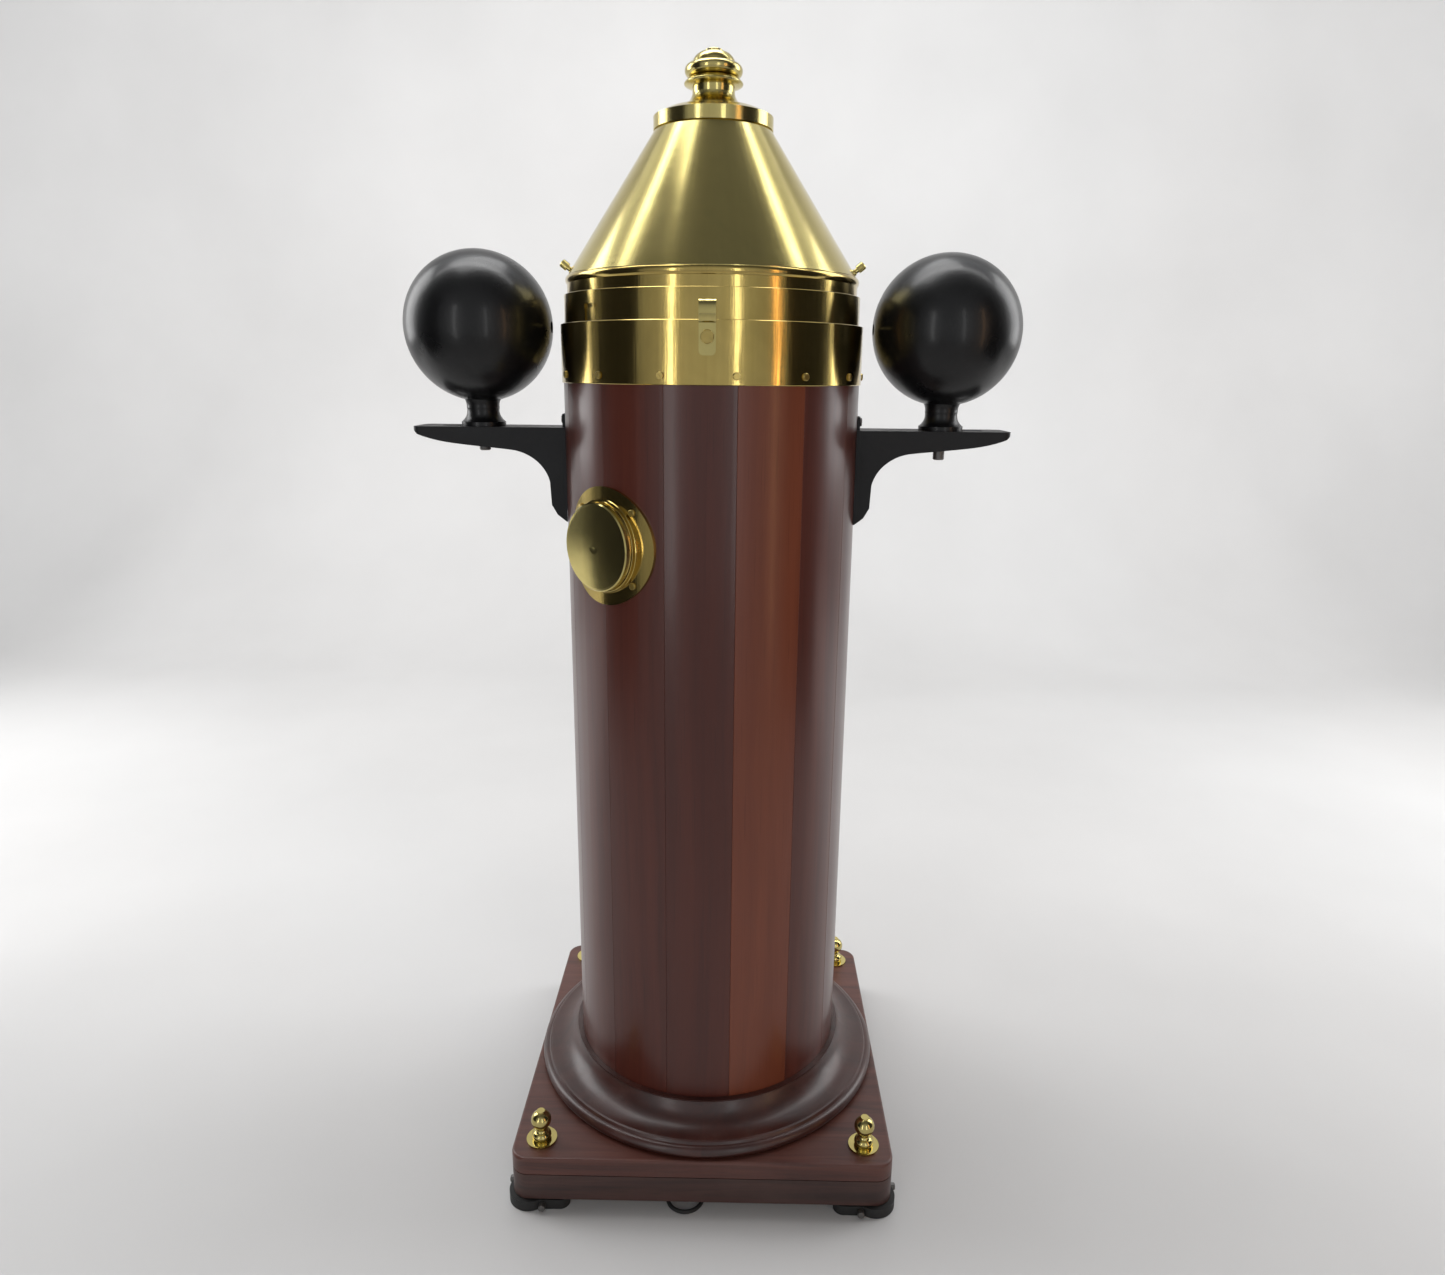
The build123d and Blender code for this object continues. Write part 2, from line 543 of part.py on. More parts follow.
# frames on the cone: one on each side for a thumb knob, one aft for the window
KNOB_TILT = 38.0
KNOB_SEAT_Z = BASE_TOP + 1063.0
WINDOW_Z = BASE_TOP + 1132.0


def cone_radius(height):
    """Outer radius of the cone at a height."""
    share = (height - CONE_BOTTOM) / (CONE_TOP - CONE_BOTTOM)
    return CONE_BOTTOM_R + (CONE_TOP_R - CONE_BOTTOM_R) * share


def tilted_frame(azimuth, height, tilt):
    """A frame on the cone whose Z points outwards and tilts up from level."""
    out = outward(azimuth)
    normal = out * cos(radians(tilt)) + Vector(0, 0, sin(radians(tilt)))
    return Plane(origin=spot(azimuth, cone_radius(height), height), x_dir=(-out.Y, out.X, 0),
                 z_dir=normal)


KNOB_FRAMES = {"left": tilted_frame(-90, KNOB_SEAT_Z, KNOB_TILT),
               "right": tilted_frame(90, KNOB_SEAT_Z, KNOB_TILT)}
WINDOW_FRAME = tilted_frame(180, WINDOW_Z, CONE_HALF_ANGLE)
KNOB_SHANK_R = 2.6
WINDOW_TUBE_R = 52.0
WALL = SHEET / cos(radians(CONE_HALF_ANGLE))

with BuildPart() as hood_cone:
    turned((CONE_BOTTOM_R - WALL, CONE_BOTTOM - 0.6), (CONE_BOTTOM_R, CONE_BOTTOM - 0.6),
           (CONE_BOTTOM_R, CONE_BOTTOM), (CONE_TOP_R, CONE_TOP), (CONE_TOP_R - WALL, CONE_TOP),
           (CONE_BOTTOM_R - WALL, CONE_BOTTOM))
    for frame in KNOB_FRAMES.values():
        rod(KNOB_SHANK_R + RUNNING, -12, 12, frame=frame, mode=Mode.SUBTRACT)
    rod(WINDOW_TUBE_R + GAP / 2, -25, 25, frame=WINDOW_FRAME, mode=Mode.SUBTRACT)
save(hood_cone.part, "hood_cone")

# cap ring, shallow dome and concave flare up to the neck
CAP_R = 69.5
CAP_BOTTOM = BASE_TOP + 1216.5
CAP_RING_TOP = BASE_TOP + 1230.5
NECK_R = 24.5
NECK_TOP = BASE_TOP + 1263.0
VENT_R = 18.0
with BuildPart() as hood_cap:
    with BuildSketch(Plane.XZ):
        with BuildLine():
            Polyline((CONE_TOP_R + 1.3, CAP_BOTTOM), (CAP_R, CAP_BOTTOM), (CAP_R, CAP_RING_TOP),
                     (CAP_R - 1.5, CAP_RING_TOP + 0.8))
            ThreePointArc((CAP_R - 1.5, CAP_RING_TOP + 0.8), (55, CAP_RING_TOP + 6.6),
                          (38, CAP_RING_TOP + 11.5))
            ThreePointArc((38, CAP_RING_TOP + 11.5), (27.5, NECK_TOP - 14), (NECK_R, NECK_TOP - 7))
            Polyline((NECK_R, NECK_TOP - 7), (NECK_R, NECK_TOP), (VENT_R, NECK_TOP),
                     (VENT_R, NECK_TOP - 16), (34, CAP_RING_TOP + 5), (CAP_R - 5, CAP_RING_TOP - 2),
                     (CAP_R - 5, CONE_TOP + 0.2), (CONE_TOP_R + 1.3, CONE_TOP + 0.2),
                     (CONE_TOP_R + 1.3, CAP_BOTTOM))
        make_face()
    revolve(axis=Axis.Z)
save(hood_cap.part, "hood_cap")

# ventilator: cowl disc under a bulb with a domed finial
COWL_TOP = BASE_TOP + 1273.0
with BuildPart() as vent_cowl:
    with BuildSketch(Plane.XZ):
        with BuildLine():
            Polyline((VENT_R, NECK_TOP + 0.05), (NECK_R, NECK_TOP + 0.05))
            ThreePointArc((NECK_R, NECK_TOP + 0.05), (28, NECK_TOP + 0.6), (33.4, NECK_TOP + 2.2))
            Polyline((33.4, NECK_TOP + 2.2), (34, NECK_TOP + 3.2), (33.6, NECK_TOP + 4.4))
            ThreePointArc((33.6, NECK_TOP + 4.4), (30.2, COWL_TOP - 2.2), (26, COWL_TOP))
            Polyline((26, COWL_TOP), (VENT_R, COWL_TOP), (VENT_R, NECK_TOP + 0.05))
        make_face()
    revolve(axis=Axis.Z)
save(vent_cowl.part, "vent_cowl")

BULB_TOP = BASE_TOP + 1287.5
FINIAL_TOP = BASE_TOP + 1302.0
with BuildPart() as vent_finial:
    with BuildSketch(Plane.XZ):
        with BuildLine():
            Line((0, COWL_TOP + 0.05), (26, COWL_TOP + 0.05))
            ThreePointArc((26, COWL_TOP + 0.05), (33.3, COWL_TOP + 7), (26.5, BULB_TOP - 0.8))
            Polyline((26.5, BULB_TOP - 0.8), (25, BULB_TOP), (24.6, BULB_TOP + 1.2))
            ThreePointArc((24.6, BULB_TOP + 1.2), (21.4, BULB_TOP + 7), (12, BULB_TOP + 11.8))
            Polyline((12, BULB_TOP + 11.8), (10, BULB_TOP + 12), (10, FINIAL_TOP - 0.6),
                     (9.4, FINIAL_TOP), (0, FINIAL_TOP), (0, COWL_TOP + 0.05))
        make_face()
    revolve(axis=Axis.Z)
save(vent_finial.part, "vent_finial")


def thumb_knob(frame):
    """A fluted thumb knob; the disc inside the cone keeps it from falling out."""
    head_r = 5.0
    head_bottom = 7.5
    head_top = 17.0
    with BuildPart() as knob:
        turned((0, -5), (4.2, -5), (4.2, -3.2), (KNOB_SHANK_R, -3.2), (KNOB_SHANK_R, 1.2),
               (4.2, 1.2), (4.2, 2.8), (3, 4.2), (3, head_bottom), (head_r, head_bottom + 0.6),
               (head_r, head_top - 1), (head_r - 1, head_top), (0, head_top), frame=frame)
        with BuildSketch(frame.offset(head_bottom)) as flutes:
            with PolarLocations(head_r + 0.2, 10):
                Circle(0.8)
        extrude(flutes.sketch, amount=head_top - head_bottom, mode=Mode.SUBTRACT)
    return knob.part


for word, frame in KNOB_FRAMES.items():
    save(thumb_knob(frame), f"thumb_knob_{word}")

# round window on the helmsman's side: tube, glass, retaining ring and hinged cover
GLASS_R = 49.4
COVER_HINGE_Y = 58.5
COVER_HINGE_Z = 14.2
COVER_PIN_R = 1.8
lug_plane = Plane(origin=WINDOW_FRAME.origin, x_dir=WINDOW_FRAME.y_dir, z_dir=WINDOW_FRAME.x_dir)
with BuildPart() as window_frame:
    turned((46, -16), (WINDOW_TUBE_R, -16), (WINDOW_TUBE_R, 12), (GLASS_R + 0.1, 12),
           (GLASS_R + 0.1, 2), (46, 2), frame=WINDOW_FRAME)
    # retaining ring, a separate piece, with two lugs and the pin that carries the cover
    tube(44, GLASS_R, 5.2, 12.2, frame=WINDOW_FRAME)
    tube(44, WINDOW_TUBE_R + 1, 12.1, 13.6, frame=WINDOW_FRAME)
    for start in (-13.0, 9.0):
        with BuildSketch(lug_plane.offset(start)) as lug:
            with Locations((COVER_HINGE_Y, COVER_HINGE_Z)):
                Circle(3.6)
            with Locations((COVER_HINGE_Y - 5.5, 12.85)):
                Rectangle(11, 1.5)
        extrude(lug.sketch, amount=4)
    with BuildSketch(lug_plane.offset(-12)) as pin:
        with Locations((COVER_HINGE_Y, COVER_HINGE_Z)):
            Circle(COVER_PIN_R)
    extrude(pin.sketch, amount=24)
save(window_frame.part, "window_frame")

with BuildPart() as window_glass:
    rod(GLASS_R, 2.1, 5.1, frame=WINDOW_FRAME)
save(window_glass.part, "window_glass")

with BuildPart() as window_cover:
    turned((0, 15.4), (0, 16.9), (50, 16.9), (WINDOW_TUBE_R + 1.5, 16.2),
           (WINDOW_TUBE_R + 1.5, 13.9), (WINDOW_TUBE_R, 13.9), (50, 15.4), frame=WINDOW_FRAME)
    with BuildSketch(lug_plane.offset(-8.7)) as knuckle:
        with Locations((COVER_HINGE_Y, COVER_HINGE_Z)):
            Circle(3.6)
        with Locations((COVER_HINGE_Y - 5, COVER_HINGE_Z + 2)):
            Rectangle(9, 1.5)
        with Locations((COVER_HINGE_Y, COVER_HINGE_Z)):
            Circle(COVER_PIN_R + RUNNING, mode=Mode.SUBTRACT)
    extrude(knuckle.sketch, amount=17.4)
    handle = Plane(origin=WINDOW_FRAME.origin - WINDOW_FRAME.y_dir * 40,
                   x_dir=WINDOW_FRAME.x_dir, z_dir=WINDOW_FRAME.z_dir)
    turned((0, 16), (3, 16), (3, 20), (6, 23), (6, 26), (4.5, 28), (0, 28), frame=handle)
save(window_cover.part, "window_cover")

# ---------------------------------------------------------------- lamp port
PORT_FLANGE_R = 68.2
PORT_AXIS = radial_frame(PORT_AZIMUTH, 0, PORT_Z)
with BuildPart() as port_flange:
    rod(PORT_FLANGE_R, 120, 200, frame=PORT_AXIS)
    with BuildSketch() as round_column:
        Circle(COLUMN_R + 3.6)
        Circle(COLUMN_R + GAP, mode=Mode.SUBTRACT)
    extrude(round_column.sketch, amount=COLUMN_TOP, mode=Mode.INTERSECT)
    # sleeve through the wall and stepped collar outside
    turned((PORT_BORE_R, 152), (PORT_SLEEVE_R, 152), (PORT_SLEEVE_R, 172), (54.2, 172),
           (54.2, 184.2), (53.6, 185), (52.4, 185), (52.4, 187.6), (51.8, 188.2), (50.2, 188.2),
           (49.6, 190), (PORT_BORE_R, 190), frame=PORT_AXIS)
    rod(PORT_BORE_R, 120, 200, frame=PORT_AXIS, mode=Mode.SUBTRACT)
    # the collar stops where it meets the column
    with BuildSketch() as wall:
        Circle(COLUMN_R + GAP)
    with BuildPart(mode=Mode.PRIVATE) as behind:
        extrude(wall.sketch, amount=COLUMN_TOP)
        rod(PORT_SLEEVE_R, 100, 250, frame=PORT_AXIS, mode=Mode.SUBTRACT)
    add(behind.part, mode=Mode.SUBTRACT)
    for azimuth, height in PORT_SCREWS:
        rod(SCREW_R + GAP, -5, 10, frame=radial_frame(azimuth, COLUMN_R, height),
            mode=Mode.SUBTRACT)
save(port_flange.part, "port_flange")

with BuildPart() as port_screws:
    for index, (azimuth, height) in enumerate(PORT_SCREWS):
        screw(radial_frame(azimuth, COLUMN_R + 3.8, height), head_r=4.0, head_h=2.0,
              shank_r=SCREW_R, shank_length=15, slot_w=1.0, slot_angle=50.0 * index)
save(port_screws.part, "port_screws")

# cap that pulls out with the lamp behind it
CAP_FACE = 190.2
dome_r = 47.0
dome_base = CAP_FACE + 6.9
dome_rise = 1.9
sphere_r = (dome_r ** 2 + dome_rise ** 2) / (2 * dome_rise)


def dome_height(radius):
    """Height of the cap's slightly domed face at a radius."""
    return dome_base + dome_rise - sphere_r + sqrt(sphere_r ** 2 - radius ** 2)


with BuildPart() as port_cap:
    with BuildSketch(Plane(origin=PORT_AXIS.origin, x_dir=PORT_AXIS.x_dir,
                           z_dir=PORT_AXIS.x_dir.cross(PORT_AXIS.z_dir))) as outline:
        with BuildLine():
            Polyline((0, CAP_FACE - 4), (40, CAP_FACE - 4), (40, CAP_FACE - 14),
                     (PORT_BORE_R - RUNNING, CAP_FACE - 14), (PORT_BORE_R - RUNNING, CAP_FACE),
                     (50.2, CAP_FACE), (50.7, CAP_FACE + 0.8), (50.7, CAP_FACE + 5.2),
                     (49.4, CAP_FACE + 6.6), (dome_r, dome_base))
            ThreePointArc((dome_r, dome_base), (dome_r / 2, dome_height(dome_r / 2)),
                          (0, dome_height(0)))
            Line((0, dome_height(0)), (0, CAP_FACE - 4))
        make_face()
    revolve(outline.sketch, axis=Axis(PORT_AXIS.origin, PORT_AXIS.z_dir))
save(port_cap.part, "port_cap")

with BuildPart() as lamp_holder:
    turned((0, 120), (11, 120), (11, 150), (16, 152), (16, CAP_FACE - 4.1), (0, CAP_FACE - 4.1),
           frame=PORT_AXIS)
    rod(7, 115, 140, frame=PORT_AXIS, mode=Mode.SUBTRACT)
save(lamp_holder.part, "lamp_holder")

with BuildPart() as lamp_bulb:
    rod(6.9, 108, 139, frame=PORT_AXIS)
    with Locations(spot(PORT_AZIMUTH, 100, PORT_Z)):
        Sphere(14)
save(lamp_bulb.part, "lamp_bulb")

# cable out of the column, down behind the base, under it and forward to a small loop
CABLE_FRAME = radial_frame(CABLE_AZIMUTH, 0, CABLE_Z)
FLOOR_Z = CABLE_R + 0.5
DROP_X = -150.0                # the cable hangs down the aft edge of the base here
DROP_Y = BASE_SIDE / 2 + CABLE_R + 2.4
DROP_BEND_R = 12.0
DROP_END = (DROP_X, DROP_Y, FLOOR_Z + DROP_BEND_R)
FLOOR_START = (DROP_X, DROP_Y - DROP_BEND_R, FLOOR_Z)
LOOP_R = 22.0
LOOP_X = -21.0
LOOP_Y = 18.0 - BASE_SIDE / 2
cable_start = spot(CABLE_AZIMUTH, COLUMN_INNER_R - 12, CABLE_Z)
cable_mouth = spot(CABLE_AZIMUTH, COLUMN_R + 10, CABLE_Z)
with BuildPart() as lamp_cable:
    with BuildLine() as path:
        Line(cable_start, cable_mouth)
        Spline(cable_mouth,
               (-184, 158, CABLE_Z - 9),
               (-170, 214, BASE_TOP + 58),
               (DROP_X, DROP_Y, BASE_TOP),
               tangents=(outward(CABLE_AZIMUTH), (0, 0, -1)))
        Line((DROP_X, DROP_Y, BASE_TOP), DROP_END)
        TangentArc(DROP_END, FLOOR_START, tangent=(0, 0, -1))
        Spline(FLOOR_START,
               (-110, 90, FLOOR_Z),
               (-62, -110, FLOOR_Z),
               (LOOP_X - LOOP_R, LOOP_Y, FLOOR_Z),
               tangents=((0, -1, 0), (0, -1, 0)))
        ThreePointArc((LOOP_X - LOOP_R, LOOP_Y, FLOOR_Z), (LOOP_X, LOOP_Y - LOOP_R, FLOOR_Z),
                      (LOOP_X + LOOP_R, LOOP_Y, FLOOR_Z))
        Line((LOOP_X + LOOP_R, LOOP_Y, FLOOR_Z), (LOOP_X + LOOP_R, LOOP_Y + 60, FLOOR_Z))
    with BuildSketch(Plane(origin=cable_start, z_dir=outward(CABLE_AZIMUTH))) as wire:
        Circle(CABLE_R)
    sweep(wire.sketch, path=path.line)
    # the gland in the column wall, a separate piece
    turned((CABLE_R + 0.05, COLUMN_INNER_R - 4), (GLAND_R, COLUMN_INNER_R - 4),
           (GLAND_R, COLUMN_R + 0.4), (10, COLUMN_R + 0.4), (10, COLUMN_R + 2.5),
           (5, COLUMN_R + 9), (CABLE_R + 0.05, COLUMN_R + 9), frame=CABLE_FRAME)
save(lamp_cable.part, "lamp_cable")

# ---------------------------------------------------------------- aft access door
HINGE_PIN_R = 2.0
KNUCKLE_R = 3.6
HINGE_R = COLUMN_R + 4.6       # distance of the hinge pins from the column's axis
HINGE_H = 60.0
KNUCKLE_H = 20.0
LEAF_T = 1.7
with BuildPart() as access_door:
    wedge(COLUMN_INNER_R, COLUMN_R, DOOR_AZIMUTH, DOOR_HALF_ANGLE - DOOR_EDGE_ANGLE,
          DOOR_BOTTOM + DOOR_GAP, DOOR_H - 2 * DOOR_GAP)
    seam_grooves()
    rod(3.2, -25, 5, frame=radial_frame(DOOR_AZIMUTH + 18, COLUMN_R, DOOR_BOTTOM + DOOR_H / 2),
        mode=Mode.SUBTRACT)
save(access_door.part, "access_door")

HINGE_BOTTOMS = (DOOR_BOTTOM + 40, DOOR_BOTTOM + DOOR_H - 40 - HINGE_H)
HINGE_POINT = spot(HINGE_AZIMUTH, HINGE_R, 0)
LEAF_CLEAR = degrees(4.0 / COLUMN_R)
LEAF_ANGLE = degrees(24.0 / COLUMN_R)


def hinge_half(side, knuckles, with_pins=False):
    """The leaves and knuckles on one side of the hinge line, for both hinges."""
    leaf_middle = HINGE_AZIMUTH + side * (LEAF_CLEAR + LEAF_ANGLE / 2)
    arm_angle = degrees(3.2 / COLUMN_R)
    with BuildPart() as half:
        for bottom in HINGE_BOTTOMS:
            wedge(COLUMN_R + GAP / 2, COLUMN_R + LEAF_T, leaf_middle, LEAF_ANGLE / 2, bottom, HINGE_H)
            for index in knuckles:
                low = bottom + index * KNUCKLE_H + 0.15
                high = KNUCKLE_H - 0.3
                wedge(COLUMN_R + 0.3, COLUMN_R + LEAF_T, HINGE_AZIMUTH + side * arm_angle,
                      arm_angle, low, high)
                with BuildSketch(Plane.XY.offset(low)) as barrel:
                    with Locations((HINGE_POINT.X, HINGE_POINT.Y)):
                        Circle(KNUCKLE_R)
                extrude(barrel.sketch, amount=high)
        with BuildSketch(Plane.XY.offset(DOOR_BOTTOM)) as bore:
            with Locations((HINGE_POINT.X, HINGE_POINT.Y)):
                Circle(HINGE_PIN_R + RUNNING)
        extrude(bore.sketch, amount=DOOR_H, mode=Mode.SUBTRACT)
        if with_pins:
            hinge_pins()
    return half.part


def hinge_pins():
    """Headed pins through the knuckles, added to the part being built."""
    for bottom in HINGE_BOTTOMS:
        turned((0, bottom - 2), (3, bottom - 2), (3, bottom), (HINGE_PIN_R, bottom),
               (HINGE_PIN_R, bottom + HINGE_H), (3, bottom + HINGE_H), (3, bottom + HINGE_H + 2),
               (0, bottom + HINGE_H + 2), frame=Plane(origin=(HINGE_POINT.X, HINGE_POINT.Y, 0)))


save(hinge_half(-1, (0, 2), with_pins=True), "hinge_leaves_column")
save(hinge_half(1, (1,)), "hinge_leaves_door")

with BuildPart() as door_knob:
    turned((0, -24), (3, -24), (3, 0.3), (9, 0.3), (9, 2), (5, 4), (4.5, 9), (9, 14), (9.5, 18),
           (7.5, 22), (0, 23),
           frame=radial_frame(DOOR_AZIMUTH + 18, COLUMN_R, DOOR_BOTTOM + DOOR_H / 2))
save(door_knob.part, "door_knob")

# ---------------------------------------------------------------- inside the column
TUBE_R = 22.0
TUBE_BORE_R = 19.0
with BuildPart() as shelves_and_hoops:
    for bottom in (BASE_TOP, MAGNET_SHELF_Z - HOOP_H, COMPASS_SHELF_Z - HOOP_H):
        tube(COLUMN_INNER_R - 14, COLUMN_INNER_R - GAP, bottom, bottom + HOOP_H - GAP)
    with BuildSketch(Plane.XY.offset(COMPASS_SHELF_Z)):
        Circle(COLUMN_INNER_R - GAP)
        Circle(TUBE_R + GAP, mode=Mode.SUBTRACT)
        with PolarLocations(85, 4, start_angle=45):
            Circle(32, mode=Mode.SUBTRACT)
    extrude(amount=12)
    with BuildSketch(Plane.XY.offset(MAGNET_SHELF_Z)):
        Circle(COLUMN_INNER_R - GAP)
        Circle(20, mode=Mode.SUBTRACT)
    extrude(amount=12)
save(shelves_and_hoops.part, "shelves_and_hoops")

ROD_SPOTS = [(ROD_OFFSET * sx, ROD_OFFSET * sy) for sx in (-1, 1) for sy in (-1, 1)]
with BuildPart() as guide_rods:
    with BuildSketch(Plane.XY.offset(BASE_TOP + GAP)):
        with Locations(*ROD_SPOTS):
            Circle(ROD_R)
    extrude(amount=MAGNET_SHELF_Z - BASE_TOP - 2 * GAP)
save(guide_rods.part, "guide_rods")

TRAY_T = 14.0
MAGNET_R = 5.0
MAGNET_L = 150.0
MAGNET_SPOTS = (-60.0, -40.0, 40.0, 60.0)
ATHWART_Z = BASE_TOP + 206.0
FORE_AFT_Z = BASE_TOP + 366.0


def tray(height, turn):
    """A wooden tray riding on the four rods, with grooves for four bar magnets."""
    with BuildPart() as board:
        with BuildSketch(Plane.XY.offset(height)):
            RectangleRounded(TRAY_SIDE, TRAY_SIDE, 6)
            with Locations(*ROD_SPOTS):
                Circle(ROD_R + RUNNING, mode=Mode.SUBTRACT)
        extrude(amount=TRAY_T)
        board_top = Plane(origin=(0, 0, height + TRAY_T)).rotated((0, 0, turn))
        for offset in MAGNET_SPOTS:
            lane = Plane(origin=board_top.origin + board_top.y_dir * offset
                         - board_top.x_dir * MAGNET_L / 2,
                         x_dir=board_top.y_dir, z_dir=board_top.x_dir)
            rod(MAGNET_R + GAP, -1, MAGNET_L + 1, frame=lane, mode=Mode.SUBTRACT)
    with BuildPart() as bars:
        for offset in MAGNET_SPOTS:
            lane = Plane(origin=board_top.origin + board_top.y_dir * offset
                         - board_top.x_dir * MAGNET_L / 2,
                         x_dir=board_top.y_dir, z_dir=board_top.x_dir)
            rod(MAGNET_R, 0, MAGNET_L, frame=lane)
    return board.part, bars.part


for word, height, turn in (("athwart", ATHWART_Z, 0), ("fore_aft", FORE_AFT_Z, 90)):
    board, bars = tray(height, turn)
    save(board, f"{word}_tray")
    save(bars, f"{word}_magnets")

BUCKET_Z = BASE_TOP + 700.0
with BuildPart() as heeling_tube:
    tube(TUBE_BORE_R, TUBE_R, MAGNET_SHELF_Z + 30, COMPASS_SHELF_Z + 11)
save(heeling_tube.part, "heeling_tube")

with BuildPart() as heeling_bucket:
    turned((0, BUCKET_Z), (TUBE_BORE_R - RUNNING, BUCKET_Z), (TUBE_BORE_R - RUNNING, BUCKET_Z + 70),
           (15, BUCKET_Z + 70), (15, BUCKET_Z + 3), (0, BUCKET_Z + 3))
save(heeling_bucket.part, "heeling_bucket")

# ---------------------------------------------------------------- compass
RING_IN = 124.0
RING_OUT = 132.0
TRUNNION_R = 4.0
CENTRE = Plane.XY.offset(COMPASS_Z)
with BuildPart() as gimbal_supports:
    flange_top = COLUMN_TOP + 3
    with BuildSketch(Plane.XY.offset(flange_top + GAP / 2)):
        with Locations((-153, 0), (153, 0)):
            RectangleRounded(26, 36, 4)
    extrude(amount=3)
    with BuildSketch(Plane.XY.offset(flange_top + GAP / 2)):
        with Locations((-148, 0), (148, 0)):
            Rectangle(14, 18)
    extrude(amount=COMPASS_Z + 10 - flange_top)
    for azimuth in (-90, 90):
        rod(TRUNNION_R, 126, 145, frame=radial_frame(azimuth, 0, COMPASS_Z))
save(gimbal_supports.part, "gimbal_supports")

with BuildPart() as gimbal_ring:
    tube(RING_IN, RING_OUT, -7, 7, frame=CENTRE)
    for azimuth in (-90, 0, 90, 180):
        rod(TRUNNION_R + RUNNING, 118, 140, frame=radial_frame(azimuth, 0, COMPASS_Z),
            mode=Mode.SUBTRACT)
save(gimbal_ring.part, "gimbal_ring")

BOTTOM_GLASS_R = 40.0
with BuildPart() as compass_bowl:
    turned((BOTTOM_GLASS_R - 4, -84), (52, -84), (64, -78), (98, -48), (BOWL_R, -14), (BOWL_R, 14),
           (BOWL_R - 8, 14), (BOWL_R - 8, 11), (BOWL_R - 3, 11), (BOWL_R - 3, -13.5), (95.6, -46),
           (62.5, -75), (51, -81), (BOTTOM_GLASS_R - 4, -81), frame=CENTRE)
    for azimuth in (0, 180):
        rod(TRUNNION_R, BOWL_R - 1.5, RING_OUT - 1, frame=radial_frame(azimuth, 0, COMPASS_Z))
save(compass_bowl.part, "compass_bowl")

with BuildPart() as bowl_bezel:
    turned((BOWL_R - 11, 17.2), (BOWL_R - 3, 17.2), (BOWL_R - 3, 14.1), (BOWL_R, 14.1), (BOWL_R, 19),
           (BOWL_R - 1, 20), (BOWL_R - 11, 20), frame=CENTRE)
save(bowl_bezel.part, "bowl_bezel")

with BuildPart() as bowl_glasses:
    rod(BOWL_R - 3.2, 14.1, 17.1, frame=CENTRE)
    rod(BOTTOM_GLASS_R + 6, -80.9, -77.9, frame=CENTRE)
save(bowl_glasses.part, "bowl_glasses")

# the bridge with the pivot the card turns on, and the lubber line on the bowl's wall
with BuildPart() as bowl_fittings:
    with BuildSketch(CENTRE.offset(-34)) as bar:
        Rectangle(200, 14)
    extrude(bar.sketch, amount=4)
    turned((0, -30.5), (8, -30.5), (3, -24), (1.5, -8), (1.5, 0), (0, 1.8), frame=CENTRE)
    with BuildSketch(CENTRE.offset(-10)) as mark:
        with Locations((0, -(CARD_R + BOWL_R - 3) / 2 - 0.6)):
            Rectangle(1.5, BOWL_R - 3 - CARD_R - 2)
    extrude(mark.sketch, amount=20)
save(bowl_fittings.part, "bowl_fittings")

with BuildPart() as compass_card:
    tube(3.2, CARD_R, 0, 1, frame=CENTRE)
save(compass_card.part, "compass_card")

with BuildPart() as card_cap:
    turned((0, 2.2), (2.2, 1.1), (8, 1.1), (8, 3), (3, 8), (0, 8), frame=CENTRE)
save(card_cap.part, "card_cap")

with BuildPart() as card_magnets:
    for offset, length in ((-45, 60), (-20, 100), (20, 100), (45, 60)):
        lane = Plane(origin=(offset, -length / 2, COMPASS_Z - 2.1), x_dir=(1, 0, 0), z_dir=(0, 1, 0))
        rod(2, 0, length, frame=lane)
save(card_magnets.part, "card_magnets")
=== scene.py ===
"""Looks and light for the binnacle compass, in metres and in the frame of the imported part."""
import math

import bmesh
import bpy
from mathutils import Matrix, Vector


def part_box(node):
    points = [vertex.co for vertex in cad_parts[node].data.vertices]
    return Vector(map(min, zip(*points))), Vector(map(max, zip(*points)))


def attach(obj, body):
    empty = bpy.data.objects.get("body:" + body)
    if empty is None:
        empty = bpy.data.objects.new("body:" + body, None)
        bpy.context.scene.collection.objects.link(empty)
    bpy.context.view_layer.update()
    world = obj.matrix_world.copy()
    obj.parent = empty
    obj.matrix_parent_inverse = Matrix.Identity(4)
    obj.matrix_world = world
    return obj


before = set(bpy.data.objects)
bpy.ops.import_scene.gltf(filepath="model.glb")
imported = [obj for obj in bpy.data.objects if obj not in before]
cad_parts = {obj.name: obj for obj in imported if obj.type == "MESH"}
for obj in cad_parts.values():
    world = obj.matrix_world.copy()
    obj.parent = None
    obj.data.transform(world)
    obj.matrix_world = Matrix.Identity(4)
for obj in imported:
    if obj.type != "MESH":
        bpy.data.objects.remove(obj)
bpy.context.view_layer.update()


def box(node):
    """Low and high corners of a CAD node."""
    low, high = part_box(node)
    return Vector(low), Vector(high)


def centre(node):
    """Middle of a CAD node's box."""
    low, high = box(node)
    return (low + high) / 2


SEAM_AZIMUTH = math.radians(10.5)          # the first seam between staves, from the front
STAVE_COUNT = 14
COMPASS = centre("compass_card")
CARD_LOW, CARD_HIGH = box("compass_card")
CARD_R = (CARD_HIGH.x - CARD_LOW.x) / 2


# ---------------------------------------------------------------- node graphs
MIX_COLOUR_INPUTS = (6, 7)                 # a Mix node's sockets that carry colours
MIX_COLOUR_OUTPUT = 2


